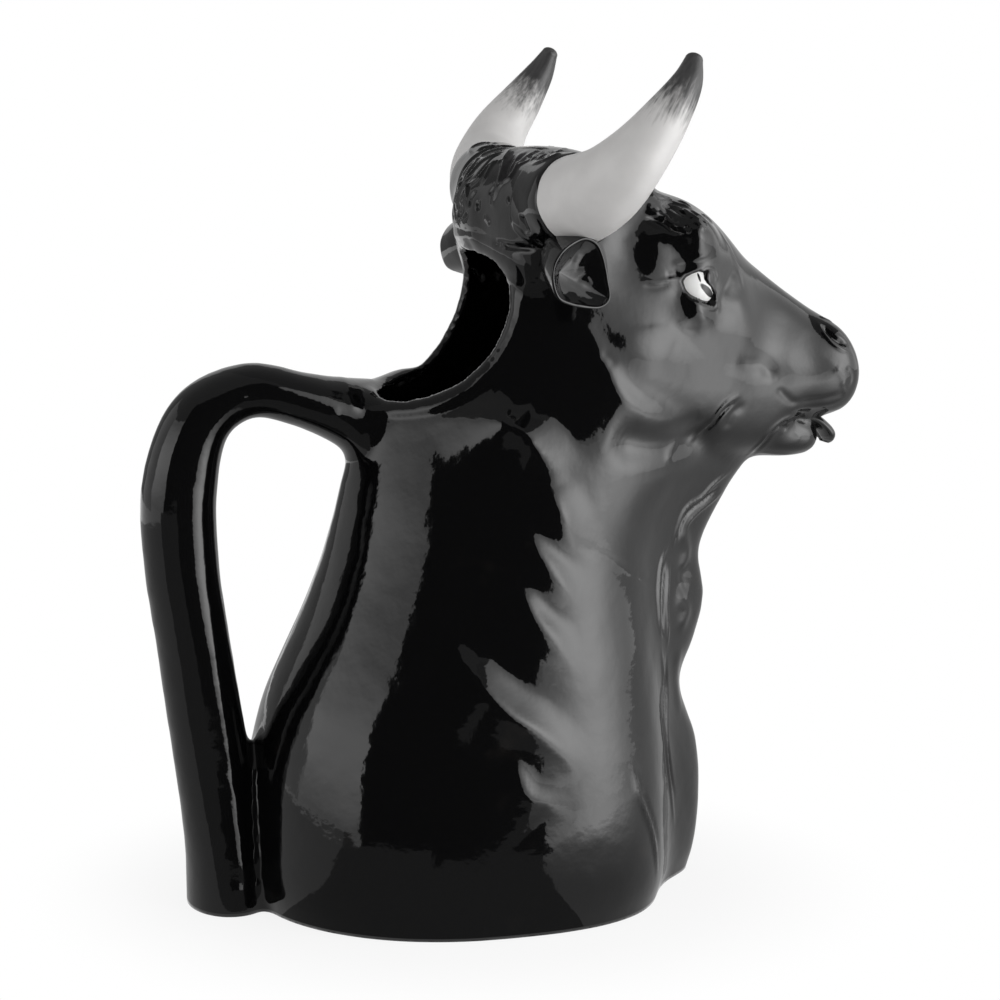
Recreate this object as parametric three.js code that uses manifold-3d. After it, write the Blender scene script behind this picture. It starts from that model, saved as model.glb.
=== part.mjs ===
// A pouring jug in glazed earthenware, in the shape of a bull's head, neck and chest. Its pieces are cast
// or modelled apart and luted together before firing: the vessel, the head, the hair on the poll, the
// horns, ears and eyes, the lower jaw and tongue that form the pouring lip, and the loop handle.
// Millimetres. +X is the way the bull faces, +Y its left side, +Z up; the origin is the middle of the flat
// foot.
import * as THREE from "three";
import { mergeVertices } from "three/addons/utils/BufferGeometryUtils.js";
import Module from "manifold-3d";

const wasm = await Module();
wasm.setup();

// Casting sizes
const wall = 4.5; // thickness of the cast wall
const floorThickness = 6.5; // of the vessel's floor
const handleWall = 4; // thickness of the hollow handle
const hornWall = 4.5; // thickness of the hollow horns
const joinGap = 0.3; // left between two pieces for the slip that joins them

// How finely the forms are faceted: points round a section, and steps or the length of a step along it.
const facets = {
  vessel: { around: 52, step: 11 },
  vesselInside: { around: 36, step: 16 },
  head: { around: 40, step: 7 },
  headInside: { around: 24, step: 12 },
  hair: { around: 60, step: 6 },
  handle: { around: 22, steps: 30 },
  handleInside: { around: 12, steps: 22 },
  horn: { around: 18, steps: 12 },
  hornInside: { around: 10, steps: 12 },
  jaw: { around: 28, step: 6 },
  tongue: { around: 16, steps: 14 },
  notch: 18,
  mouth: 20,
  ear: 20,
  earInside: 16,
  eye: 24,
  nostril: 12,
};
const leastStep = 0.1; // between two rings of a form
const beyond = 600; // the size of what cuts the jug right through

// The vessel: level sections from the foot to the top of the neck.
// back and front are the section's ends on X, side its half-width, widest where that width lies on X,
// keel how far the dewlap stands out in front; blunt and point are how square the front and the back are
// (2 is an ellipse, more is squarer, less is sharper).
const vesselSections = [
  { height: 0, back: -69.5, front: 62, side: 66, widest: -5, keel: 18, blunt: 2.6, point: 2.1 },
  { height: 4, back: -71, front: 64, side: 67.2, widest: -5, keel: 18, blunt: 2.6, point: 2.1 },
  { height: 25, back: -71.5, front: 65, side: 67, widest: -4, keel: 20, blunt: 2.6, point: 2.1 },
  { height: 45, back: -70, front: 65, side: 64.5, widest: -2, keel: 18.5, blunt: 2.5, point: 2.05 },
  { height: 66, back: -65, front: 64, side: 60.5, widest: 0, keel: 13, blunt: 2.4, point: 2 },
  { height: 80, back: -59, front: 63, side: 58, widest: 3, keel: 19.5, blunt: 2.3, point: 1.95 },
  { height: 94, back: -52.5, front: 62, side: 55, widest: 6, keel: 24, blunt: 2.2, point: 1.9 },
  { height: 110, back: -46.5, front: 62, side: 51.5, widest: 10, keel: 22, blunt: 2.1, point: 1.8 },
  { height: 126, back: -42, front: 67, side: 48, widest: 14, keel: 24.5, blunt: 2, point: 1.7 },
  { height: 133, back: -40.4, front: 71.5, side: 46.5, widest: 16, keel: 24.3, blunt: 2, point: 1.65 },
  { height: 140, back: -38.8, front: 77, side: 45, widest: 18, keel: 23.5, blunt: 2, point: 1.6 },
  { height: 152, back: -35, front: 84, side: 42.5, widest: 22, keel: 10, blunt: 2, point: 1.55 },
  { height: 165, back: -30.5, front: 87, side: 40.5, widest: 25, keel: 0, blunt: 2, point: 1.5 },
  { height: 180, back: -21, front: 84, side: 39, widest: 25, keel: 0, blunt: 2, point: 1.5 },
  { height: 196, back: -9, front: 76, side: 37, widest: 25, keel: 0, blunt: 2, point: 1.6 },
  { height: 212, back: 1, front: 66, side: 33, widest: 25, keel: 0, blunt: 2, point: 1.8 },
];
const keelHalfWidth = 17; // of the dewlap, where it has fallen to a third of its reach
const keelCrowding = 0.45; // how much closer the points of a section lie on the dewlap than at the back
const insideKeel = 0.35; // share of the dewlap's reach that the hollow follows

// Folds of the neck and shoulder, on each side: ridges from one point to another, with their half-width.
const neckFolds = [
  { from: [20, 45, 156], to: [62, 34, 108], reach: 9, push: 2.6 },
  { from: [24, 52, 128], to: [60, 40, 88], reach: 9, push: 2.6 },
  { from: [18, 57, 104], to: [62, 43, 62], reach: 9, push: 2.5 },
  { from: [10, 62, 76], to: [58, 50, 34], reach: 9, push: 2.2 },
];

// The head: upright sections from the poll to the muzzle.
// top and bottom are heights, side the half-width, middle the height of the widest line,
// and crown how square the upper half is (2 is an ellipse, more is squarer).
const headSections = [
  { along: 3, top: 230, bottom: 214, side: 11, middle: 222.5, crown: 2 },
  { along: 5, top: 233, bottom: 210.5, side: 18.5, middle: 222, crown: 2 },
  { along: 9, top: 237.5, bottom: 203, side: 29.5, middle: 220, crown: 2.1 },
  { along: 15, top: 240, bottom: 188, side: 36, middle: 217.5, crown: 2.2 },
  { along: 24, top: 241.5, bottom: 172, side: 37, middle: 212, crown: 2.2 },
  { along: 38, top: 240.5, bottom: 159, side: 37, middle: 205, crown: 2.3 },
  { along: 52, top: 235.5, bottom: 150, side: 35.5, middle: 198, crown: 2.5 },
  { along: 66, top: 230.5, bottom: 146, side: 33, middle: 193, crown: 2.7 },
  { along: 78, top: 226, bottom: 143, side: 30.5, middle: 189, crown: 2.8 },
  { along: 88, top: 218, bottom: 141.5, side: 27, middle: 184, crown: 2.5 },
  { along: 96, top: 209.2, bottom: 141.5, side: 23.5, middle: 179, crown: 2.3 },
  { along: 104, top: 202.8, bottom: 143, side: 21, middle: 175, crown: 2.2 },
  { along: 110, top: 198.2, bottom: 149, side: 20, middle: 173, crown: 2.2 },
  { along: 115, top: 194.6, bottom: 155, side: 19.5, middle: 172, crown: 2.2 },
  { along: 121, top: 190.4, bottom: 155, side: 19.5, middle: 171, crown: 2.3 },
  { along: 128, top: 185.8, bottom: 154.8, side: 19, middle: 171, crown: 2.5 },
  { along: 133, top: 181.6, bottom: 156.2, side: 16.5, middle: 170, crown: 2.5 },
  { along: 136, top: 177.5, bottom: 159.5, side: 13.5, middle: 169, crown: 2.2 },
  { along: 137.8, top: 174.5, bottom: 163, side: 8.5, middle: 168.5, crown: 2 },
];

// Swellings and hollows of the head, on each side: how far the surface is pushed out, or in, round a point.
const headLobes = [
  { name: "horn_root", at: [23, 33, 228], reach: 13, push: 5 },
  { name: "brow", at: [76, 28, 213], reach: 9, push: 4.5 },
  { name: "socket", at: [75, 31, 202], reach: 8, push: -4.5 },
  { name: "temple", at: [54, 35, 214], reach: 10, push: -2.5 },
  { name: "cheek", at: [52, 34, 178], reach: 17, push: 3.5 },
  { name: "cheekbone", at: [88, 25, 190], reach: 8, push: 1.5 },
  { name: "nose_side", at: [104, 20, 185], reach: 9, push: -1.2 },
  { name: "lip_corner", at: [104, 19, 170], reach: 6, push: -1.5 },
  { name: "upper_lip", at: [125, 17, 166], reach: 9, push: 1.6 },
  { name: "nostril_wing", at: [128, 12, 182], reach: 6, push: 2 },
];

// The notch that opens the neck behind the poll, where the jug is filled: a slot across the neck, with a
// round end in front and its lip at the back.
const notch = { x: -28.5, z: 202.7, radius: 39, lip: -33, cornerRadius: 14, cornerAngle: -5 };

// The neck joint: a slanting plane from the notch down to the throat, on which the head stands.
const jointBack = { x: 8, z: 186 };
const jointFront = { x: 100, z: 139 };

// The pouring hole at the back of the mouth, a round channel through the throat, and the bowl of the lower
// lip.
const mouth = { x: 110, z: 154, halfLength: 17, halfWidth: 10.5, halfHeight: 7.5 };

// The loop handle: its path and its oval sections. Its root was pressed on a little to the left of the
// middle. across is the half-width on Y, thick the half-thickness in the plane of the loop, and roll how
// many degrees the left side is raised. It is solid at its root, and its hollow is open under its foot.
const handlePath = [
  { x: 8, y: 12, z: 151, across: 18, thick: 15, roll: 32 },
  { x: -6, y: 13, z: 153.6, across: 21.5, thick: 15.5, roll: 32 },
  { x: -20, y: 12, z: 154.2, across: 22, thick: 14, roll: 28 },
  { x: -36, y: 5, z: 159.4, across: 17, thick: 11.3, roll: 12 },
  { x: -52, y: 1, z: 164.5, across: 13, thick: 9 },
  { x: -70, z: 168.4, across: 12, thick: 8.9 },
  { x: -85.3, z: 160.4, across: 12.5, thick: 10.5 },
  { x: -92.5, z: 140, across: 13, thick: 12.2 },
  { x: -92.7, z: 115, across: 13, thick: 12.2 },
  { x: -89.5, z: 90, across: 13, thick: 12 },
  { x: -86, z: 65, across: 13, thick: 12.3 },
  { x: -82.3, z: 40, across: 14, thick: 12.6 },
  { x: -80, z: 18, across: 17, thick: 12.6 },
  { x: -79.5, z: -6, across: 20, thick: 12.6 },
];
const handleSolid = 0.2; // share of the path along which the handle is solid

// The horns: the left horn's path from inside the head to its tip, with its radius.
const hornPath = [
  { x: 23, y: 22, z: 229, radius: 14 },
  { x: 24.5, y: 36, z: 229, radius: 14.4 },
  { x: 26, y: 51, z: 231, radius: 14 },
  { x: 29.7, y: 66, z: 236.5, radius: 12.2 },
  { x: 36.3, y: 75.7, z: 246.5, radius: 9.6 },
  { x: 45, y: 77.2, z: 258, radius: 7.1 },
  { x: 51, y: 75.4, z: 267, radius: 4.9 },
  { x: 54, y: 73.2, z: 273.8, radius: 2.8 },
];
const hornTip = 0.8; // radius below which the tip is rounded off
const hornEnd = { reach: 0.7, width: 0.6 }; // of the rounding, as shares of the radius there
const hornRoot = 0.1; // share of the path where the horn itself begins
const hornHollow = 0.55; // share of the path up to which it is hollow
const hornSocket = { thickness: 0.6, to: 0.3, length: 1 }; // the head's collar round the horn's root

// The ears: the left ear is a cup that stands out from the head below the horn and hangs a little.
const ear = { x: 25, y: 53.6, z: 209, halfWidth: 10.2, halfLength: 22.4, halfHeight: 11 };
const earDroop = 8; // degrees that the ear hangs below level
const earTurn = 25; // degrees that it is turned back
const earHollow = { inset: 2.6, forward: 1.6, out: 10, down: 0.8 }; // how much narrower it is, and its place

// The eyes: the left eye's ball.
const eye = { x: 71.4, y: 23.8, z: 200.8, radius: 8.8 };

// The nostrils: slanting hollows cut into the left and right of the muzzle.
const nostril = { x: 127.5, y: 14.5, z: 181, halfLength: 6.5, halfWidth: 4, halfHeight: 2.4 };
const nostrilSlope = 40; // degrees that the hollow falls towards the lip

// The hair on the poll: a cap over the top and back of the head, ridged into locks.
const hair = {
  thickness: 3.6,
  front: 66, // where it ends on the forehead
  spreadBack: 135, // how far it reaches down the sides behind the horns, in degrees from the top
  spreadFront: 48, // and in front of them
  narrows: [8, 34], // between these places it goes from the one to the other
  bend: 34, // radius of the head under it
  bevel: 7, // width over which its edge thins out
  tuck: 2, // depth to which its edge goes into the head before it is cut to fit
  ridge: 0.8, // how far a lock stands up
  locks: 20, // round a whole turn of the head
  wave: 1.3, // how far the locks sway
  curl: 6, // length of a sway
  back: [0.95, 0.75, 0.4], // where its rounded back has rings, as shares of its thickness
};

// The lower jaw: upright sections from the throat to the lip.
const jawSections = [
  { along: 92, top: 152, bottom: 142, side: 11 },
  { along: 104, top: 153, bottom: 140.4, side: 12.5 },
  { along: 114, top: 153.5, bottom: 139.6, side: 12.5 },
  { along: 121, top: 153, bottom: 140.2, side: 10.5 },
  { along: 125, top: 151.5, bottom: 142, side: 7.5 },
  { along: 126.5, top: 149.5, bottom: 145, side: 3.5 },
];

// The tongue: an arched strap that hangs over the lower lip.
const tonguePath = [
  { x: 108, z: 149, across: 5.2, thick: 2 },
  { x: 115, z: 152.6, across: 6, thick: 2.2 },
  { x: 122, z: 153.2, across: 6.2, thick: 2.4 },
  { x: 128, z: 149.8, across: 6.2, thick: 2.9 },
  { x: 131, z: 145, across: 5.2, thick: 3 },
  { x: 131.4, z: 142.2, across: 3, thick: 1.8 },
];

// Glazes
const blackGlaze = new THREE.MeshStandardMaterial({ color: 0x0b0b0c, roughness: 0.08, metalness: 0 });
const ivoryGlaze = new THREE.MeshStandardMaterial({ color: 0xd9d7d2, roughness: 0.3, metalness: 0 });
const eyeGlaze = new THREE.MeshStandardMaterial({ color: 0xf1f0ec, roughness: 0.12, metalness: 0 });

// A smooth curve through every value of a list of sections, by the value named key.
function smooth(sections, key) {
  const names = Object.keys(sections[0]).filter((name) => name !== key);
  const places = sections.map((section) => section[key]);
  const values = sections.flatMap((section) => names.map((name) => section[name]));
  const curve = new THREE.CubicInterpolant(places, values, names.length);
  return (place) => {
    const at = curve.evaluate(place);
    return Object.fromEntries([[key, place], ...names.map((name, i) => [name, at[i]])]);
  };
}

// The places of a list of sections, with the stretches between them split into parts of about step.
function stepped(sections, key, step) {
  const places = sections.map((section) => section[key]);
  return places.flatMap((place, i) => {
    if (i === 0) return [place];
    const last = places[i - 1];
    const parts = Math.max(1, Math.round((place - last) / step));
    return Array.from({ length: parts }, (_, k) => last + ((place - last) * (k + 1)) / parts);
  });
}

// A closed solid skinned over rings of points that turn anticlockwise round the way from the first ring to
// the last. The second half of each ring mirrors the first, so that the two sides of the jug match.
function skin(rings) {
  const around = rings[0].length;
  const middle = (ring) => ring.reduce((sum, p) => sum.add(p), new THREE.Vector3()).divideScalar(around);
  const points = [...rings.flat(), middle(rings[0]), middle(rings.at(-1))];
  const [first, last] = [points.length - 2, points.length - 1];
  const top = (rings.length - 1) * around;
  const index = [];
  for (let i = 0; i < around; i++) {
    const j = (i + 1) % around;
    for (let low = 0; low < top; low += around) {
      const high = low + around;
      if (i < around / 2) index.push(low + i, low + j, high + j, low + i, high + j, high + i);
      else index.push(low + i, low + j, high + i, low + j, high + j, high + i);
    }
    index.push(first, j, i, last, top + i, top + j);
  }
  return new THREE.BufferGeometry().setFromPoints(points).setIndex(index);
}

// A share of a rounded shape's reach: power 2 gives a circle, less a more pointed shape and more a squarer
// one.
const rounded = (value, power) => Math.sign(value) * Math.abs(value) ** (2 / power);

const total = (values) => values.reduce((sum, value) => sum + value, 0);

// How near a point is to a stretch, from 1 on it to nothing well beyond reach. Each side has the stretch.
function nearness(point, from, to, reach) {
  const own = new THREE.Vector3(point.x, Math.abs(point.y), point.z);
  const line = new THREE.Line3(new THREE.Vector3(...from), new THREE.Vector3(...to));
  const away = own.distanceTo(line.closestPointToPoint(own, true, new THREE.Vector3())) / reach;
  return Math.exp(-away * away);
}

// One level ring of the vessel, drawn in by inset.
function vesselRing(section, { inset, around, keelShare = 1, foldShare = 1 }) {
  return Array.from({ length: around }, (_, i) => {
    const share = (2 * Math.PI * i) / around;
    const turn = share - keelCrowding * Math.sin(share);
    const [c, s] = [Math.cos(turn), Math.sin(turn)];
    const power = c > 0 ? section.blunt : section.point;
    const reach = c > 0 ? section.front - section.widest : section.widest - section.back;
    const y = section.side * rounded(s, power);
    const dewlap = c > 0 ? section.keel * keelShare * Math.exp(-((y / keelHalfWidth) ** 2)) : 0;
    const point = new THREE.Vector3(section.widest + reach * rounded(c, power) + dewlap, y, section.height);
    const push = total(neckFolds.map((fold) => fold.push * nearness(point, fold.from, fold.to, fold.reach)));
    const out = new THREE.Vector3(point.x - section.widest, y, 0).normalize();
    return point.addScaledVector(out, push * foldShare - inset);
  });
}

// The vessel's form above the height named low.
function vesselForm({ low, step, ...ring }) {
  const at = smooth(vesselSections, "height");
  const heights = stepped(vesselSections, "height", step).filter((height) => height > low + leastStep);
  return skin([low, ...heights].map((height) => vesselRing(at(height), ring)));
}

// One upright ring of the head, starting at the top and drawn in by inset, with the lobes pushed out of
// it. cover gives what lies on the head there, such as hair, at a place along it and an angle from the top
// in degrees.
function headRing(section, { inset, around, cover = () => 0 }) {
  const centre = new THREE.Vector3(section.along, 0, section.middle);
  return Array.from({ length: around }, (_, i) => {
    const fromTop = (2 * Math.PI * i) / around;
    const [c, s] = [-Math.sin(fromTop), Math.cos(fromTop)];
    const power = s > 0 ? section.crown : 2;
    const reach = s > 0 ? section.top - section.middle : section.middle - section.bottom;
    const point = new THREE.Vector3(
      section.along,
      section.side * rounded(c, power),
      section.middle + reach * rounded(s, power),
    );
    const push = total(headLobes.map((lobe) => lobe.push * nearness(point, lobe.at, lobe.at, lobe.reach)));
    const out = push - inset + cover(section.along, (360 * Math.min(i, around - i)) / around);
    return point.addScaledVector(point.clone().sub(centre).normalize(), out);
  });
}

// The head's form from one place to another; both ends are flat.
function headForm({ step, from = headSections[0].along, to = headSections.at(-1).along, ...ring }) {
  const at = smooth(headSections, "along");
  const places = stepped(headSections, "along", step);
  const inside = places.filter((x) => x > from + leastStep && x < to - leastStep);
  return skin([from, ...inside, to].map((x) => headRing(at(x), ring)));
}

// The hair's form: the back, top and upper sides of the head grown by its thickness and ridged into wavy
// locks.
function hairForm({ around, step }) {
  const at = smooth(headSections, "along");
  const first = headSections[0].along;
  const { smoothstep, degToRad, lerp } = THREE.MathUtils;
  const cover = (along, degrees) => {
    const spread = lerp(hair.spreadBack, hair.spreadFront, smoothstep(along, ...hair.narrows));
    const fromEdge = Math.min(hair.front - along, degToRad(spread - degrees) * hair.bend);
    const lock = hair.ridge * Math.cos(hair.locks * degToRad(degrees) + hair.wave * Math.sin(along / hair.curl));
    return (hair.tuck + hair.thickness + lock) * smoothstep(fromEdge, 0, hair.bevel) - hair.tuck;
  };
  const ring = { inset: 0, around };
  const back = hair.back.map((share) => {
    const { top, bottom, side, middle, crown } = at(first);
    const size = Math.sqrt(1 - share ** 2);
    const section = { middle, crown, side: side * size, along: first - share * hair.thickness };
    section.top = lerp(middle, top, size);
    section.bottom = lerp(middle, bottom, size);
    return headRing(section, { ...ring, cover: (along, degrees) => size * cover(first, degrees) });
  });
  const places = stepped(headSections, "along", step).filter((along) => along < hair.front);
  return skin([...back, ...[...places, hair.front].map((along) => headRing(at(along), { ...ring, cover }))]);
}

// The lower jaw's form, drawn in by inset.
function jawForm({ inset = 0, around, step }) {
  const at = smooth(jawSections, "along");
  const ring = ({ along, top, bottom, side }) =>
    Array.from({ length: around }, (_, i) => {
      const fromTop = (2 * Math.PI * i) / around;
      const y = -(side - inset) * Math.sin(fromTop);
      return new THREE.Vector3(along, y, (top + bottom) / 2 + ((top - bottom) / 2 - inset) * Math.cos(fromTop));
    });
  return skin(stepped(jawSections, "along", step).map((along) => ring(at(along))));
}

// A smooth path through points, with up to three named values carried along it.
function pathThrough(points, names) {
  const places = points.map((p) => new THREE.Vector3(p.x, p.y ?? 0, p.z));
  const values = points.map((p) => new THREE.Vector3(...names.map((name) => p[name] ?? 0)));
  const line = new THREE.CatmullRomCurve3(places, false, "centripetal");
  const sizes = new THREE.CatmullRomCurve3(values, false, "catmullrom", 0.5);
  return { line, sizeAt: (t) => sizes.getPoint(t) };
}

// A tube of oval sections along a path near the middle plane, drawn in by inset, between two shares of the
// path.
function ovalTube(path, { inset = 0, around, steps, from = 0, to = 1 }) {
  const { line, sizeAt } = pathThrough(path, ["across", "thick", "roll"]);
  return skin(
    Array.from({ length: steps + 1 }, (_, k) => {
      const t = from + ((to - from) * k) / steps;
      const centre = line.getPoint(t);
      const { x: across, y: thick, z: roll } = sizeAt(t);
      const side = new THREE.Vector3(0, 1, 0);
      const lift = side.clone().cross(line.getTangent(t)).normalize();
      const axis = new THREE.Vector3().crossVectors(side, lift);
      [side, lift].forEach((way) => way.applyAxisAngle(axis, THREE.MathUtils.degToRad(roll)));
      return Array.from({ length: around }, (_, i) => {
        const turn = (2 * Math.PI * i) / around;
        return centre
          .clone()
          .addScaledVector(side, (across - inset) * Math.sin(turn))
          .addScaledVector(lift, (thick - inset) * Math.cos(turn));
      });
    }),
  );
}

// A round horn along its curved path, drawn in by inset, between two shares of the path. Its end is
// rounded, or flat and that far beyond the share where flatEnd is given.
function hornForm({ inset = 0, around, steps, from = 0, to = 1, flatEnd }) {
  const { line, sizeAt } = pathThrough(hornPath, ["radius"]);
  const { tangents, normals, binormals } = line.computeFrenetFrames(steps, false);
  const rings = tangents.map((_, k) => {
    const t = k / steps;
    const place = line.getPointAt(t);
    const radius = sizeAt(line.getUtoTmapping(t)).x - inset;
    return { place, radius, normal: normals[k], binormal: binormals[k], t };
  });
  const ringPoints = ({ place, radius, normal, binormal }) =>
    Array.from({ length: around }, (_, i) => {
      const turn = (2 * Math.PI * i) / around;
      return place
        .clone()
        .addScaledVector(normal, radius * Math.cos(turn))
        .addScaledVector(binormal, radius * Math.sin(turn));
    });
  const kept = rings.filter((ring) => ring.t >= from && ring.t <= to && ring.radius > hornTip);
  const end = kept.at(-1);
  const [reach, width] = flatEnd === undefined ? [end.radius * hornEnd.reach, hornEnd.width] : [flatEnd, 1];
  const place = end.place.clone().addScaledVector(tangents[rings.indexOf(end)], reach);
  return skin([...kept, { ...end, place, radius: end.radius * width }].map(ringPoints));
}

// A ball stretched along the three axes, standing at x, y and z.
function oval({ x = 0, y = 0, z = 0 }, radiusX, radiusY, radiusZ, around) {
  return new THREE.SphereGeometry(1, around, around / 2).scale(radiusX, radiusY, radiusZ).translate(x, y, z);
}

// A geometry as a solid that can be cut and joined.
function solid(geometry) {
  const bare = geometry.clone();
  bare.deleteAttribute("normal");
  bare.deleteAttribute("uv");
  const merged = mergeVertices(bare, 1e-3);
  return new wasm.Manifold(
    new wasm.Mesh({
      numProp: 3,
      vertProperties: new Float32Array(merged.attributes.position.array),
      triVerts: new Uint32Array(merged.index.array),
    }),
  );
}

// A solid as a geometry again.
function geometryOf(made) {
  const { vertProperties, triVerts } = made.getMesh();
  return new THREE.BufferGeometry()
    .setAttribute("position", new THREE.BufferAttribute(vertProperties, 3))
    .setIndex(new THREE.BufferAttribute(triVerts, 1));
}

// The same piece for the other side: mirrored in the middle plane, with its faces turned out again.
function mirrored(geometry) {
  const other = geometry.clone().scale(1, -1, 1);
  const index = other.index.array;
  for (let i = 0; i < index.length; i += 3) [index[i + 1], index[i + 2]] = [index[i + 2], index[i + 1]];
  return other;
}

// All that lies above the neck joint when side is 1, or below it when side is -1, short of it by gap.
function beyondJoint(side, gap) {
  const along = new THREE.Vector2(jointFront.x - jointBack.x, jointFront.z - jointBack.z);
  return new THREE.BoxGeometry(beyond, beyond, beyond)
    .translate(0, 0, side * (beyond / 2 + gap))
    .rotateY(-along.angle())
    .translate(jointBack.x, 0, jointBack.z);
}

// The slot of the notch, seen from the side: it sweeps up from the lip in a long arc and turns back under
// the poll in a short one.
function notchForm() {
  const { radius, cornerRadius, lip } = notch;
  const turn = THREE.MathUtils.degToRad(notch.cornerAngle);
  const inward = radius - cornerRadius;
  const corner = { x: inward * Math.cos(turn), z: inward * Math.sin(turn) };
  const shape = new THREE.Shape();
  shape.moveTo(lip - notch.x, -radius);
  shape.absarc(0, 0, radius, -Math.PI / 2, turn, false);
  shape.absarc(corner.x, corner.z, cornerRadius, turn, Math.PI / 2, false);
  shape.lineTo(lip - notch.x, corner.z + cornerRadius);
  return new THREE.ExtrudeGeometry(shape, { depth: beyond, bevelEnabled: false, curveSegments: facets.notch })
    .translate(0, 0, -beyond / 2)
    .rotateX(Math.PI / 2)
    .translate(notch.x, 0, notch.z);
}

// The outside of the whole jug, grown by a distance, and what is hollow inside it.
function outerForm(grown) {
  const body = vesselForm({ ...facets.vessel, inset: -grown, low: 0 });
  const skull = headForm({ ...facets.head, inset: -grown, from: headSections[0].along - grown });
  const socket = hornForm({
    ...facets.horn,
    inset: -hornSocket.thickness - grown,
    to: hornSocket.to,
    flatEnd: hornSocket.length + grown,
  });
  return [skull, socket, mirrored(socket)].reduce((whole, form) => whole.add(solid(form)), solid(body));
}

function hollowForm() {
  const shares = { keelShare: insideKeel, foldShare: 0 };
  const chest = vesselForm({ ...facets.vesselInside, ...shares, inset: wall, low: floorThickness });
  const ends = { from: headSections[0].along + wall, to: mouth.x + mouth.halfLength / 3 };
  const skull = headForm({ ...facets.headInside, ...ends, inset: wall });
  return solid(chest).add(solid(skull));
}

const outside = outerForm(0);
const clearance = outerForm(joinGap);
const notchCut = solid(notchForm());
const mouthHole = solid(oval(mouth, mouth.halfLength, mouth.halfWidth, mouth.halfHeight, facets.mouth));
const nostrilForm = oval({}, nostril.halfLength, nostril.halfWidth, nostril.halfHeight, facets.nostril)
  .rotateY(THREE.MathUtils.degToRad(nostrilSlope))
  .translate(nostril.x, nostril.y, nostril.z);
const nostrils = solid(nostrilForm).add(solid(mirrored(nostrilForm)));
const cuts = [hollowForm(), mouthHole, nostrils, notchCut];
const casting = cuts.reduce((whole, cut) => whole.subtract(cut), outside);

const jug = new THREE.Group();
function addPiece(name, geometry, material) {
  const piece = new THREE.Mesh(geometry, material);
  piece.name = name;
  jug.add(piece);
}

// A piece for each side, made for the left and seated on the jug by cutting it clear of what carries it.
function addPair(name, form, seats, material) {
  const seated = (geometry) => seats.reduce((piece, seat) => piece.subtract(seat), solid(geometry));
  addPiece(`${name}_left`, geometryOf(seated(form)), material);
  addPiece(`${name}_right`, geometryOf(seated(mirrored(form))), material);
}

addPiece("vessel", geometryOf(casting.subtract(solid(beyondJoint(1, -joinGap / 2)))), blackGlaze);
addPiece("head", geometryOf(casting.subtract(solid(beyondJoint(-1, -joinGap / 2)))), blackGlaze);

// The handle
const tube = solid(ovalTube(handlePath, facets.handle));
const tubeHollow = solid(ovalTube(handlePath, { ...facets.handleInside, inset: handleWall, from: handleSolid }));
const underfoot = solid(new THREE.BoxGeometry(beyond, beyond, beyond).translate(0, 0, -beyond / 2));
const handle = tube.subtract(tubeHollow).subtract(clearance).subtract(underfoot);
addPiece("handle", geometryOf(handle), blackGlaze);

// The horns
const hornInside = solid(hornForm({ ...facets.hornInside, inset: hornWall, to: hornHollow }));
const hornOutside = solid(hornForm({ ...facets.horn, from: hornRoot }));
addPair("horn", geometryOf(hornOutside.subtract(hornInside)), [clearance], ivoryGlaze);

// The ears
const turned = (form) =>
  form
    .rotateX(THREE.MathUtils.degToRad(-earDroop))
    .rotateZ(THREE.MathUtils.degToRad(earTurn))
    .translate(ear.x, ear.y, ear.z);
const { halfWidth, halfLength, halfHeight } = ear;
const { forward, out, down, inset } = earHollow;
const earOutside = solid(turned(oval({}, halfWidth, halfLength, halfHeight, facets.ear)));
const hollowAt = { x: forward, y: out, z: -down };
const earInside = solid(
  turned(oval(hollowAt, halfWidth - inset, halfLength - inset, halfHeight - inset, facets.earInside)),
);
const hornClearance = hornForm({ ...facets.horn, inset: -joinGap, from: hornRoot });
const besideHorns = [clearance, solid(hornClearance), solid(mirrored(hornClearance))];
addPair("ear", geometryOf(earOutside.subtract(earInside)), besideHorns, blackGlaze);

// The hair, cut to fit the head, the horns and the notch
const hairSeats = [...besideHorns, notchCut];
const cutHair = hairSeats.reduce((piece, seat) => piece.subtract(seat), solid(hairForm(facets.hair)));
addPiece("poll_hair", geometryOf(cutHair), blackGlaze);

// The lower jaw, hollowed into a bowl by the pouring hole, and the tongue on its lip
const jaw = solid(jawForm(facets.jaw)).subtract(mouthHole).subtract(clearance);
addPiece("lower_jaw", geometryOf(jaw), blackGlaze);
const underTongue = solid(jawForm({ ...facets.jaw, inset: -joinGap })).subtract(mouthHole);
const tongue = solid(ovalTube(tonguePath, facets.tongue)).subtract(underTongue).subtract(clearance);
addPiece("tongue", geometryOf(tongue), blackGlaze);

// The eyes
const ball = solid(oval(eye, eye.radius, eye.radius, eye.radius, facets.eye));
addPair("eye", geometryOf(ball), [clearance], eyeGlaze);

export default jug;
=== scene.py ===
# The looks of a glazed earthenware jug in the shape of a bull's head, neck and chest.
# Sizes are in millimetres and turn into metres where a mesh is made. +X is the way the bull faces,
# +Y its left side, +Z up; the origin is the middle of the flat foot.
import math
from contextlib import contextmanager

import bmesh
import bpy
import numpy as np
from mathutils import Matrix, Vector, noise
from mathutils.bvhtree import BVHTree


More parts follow.
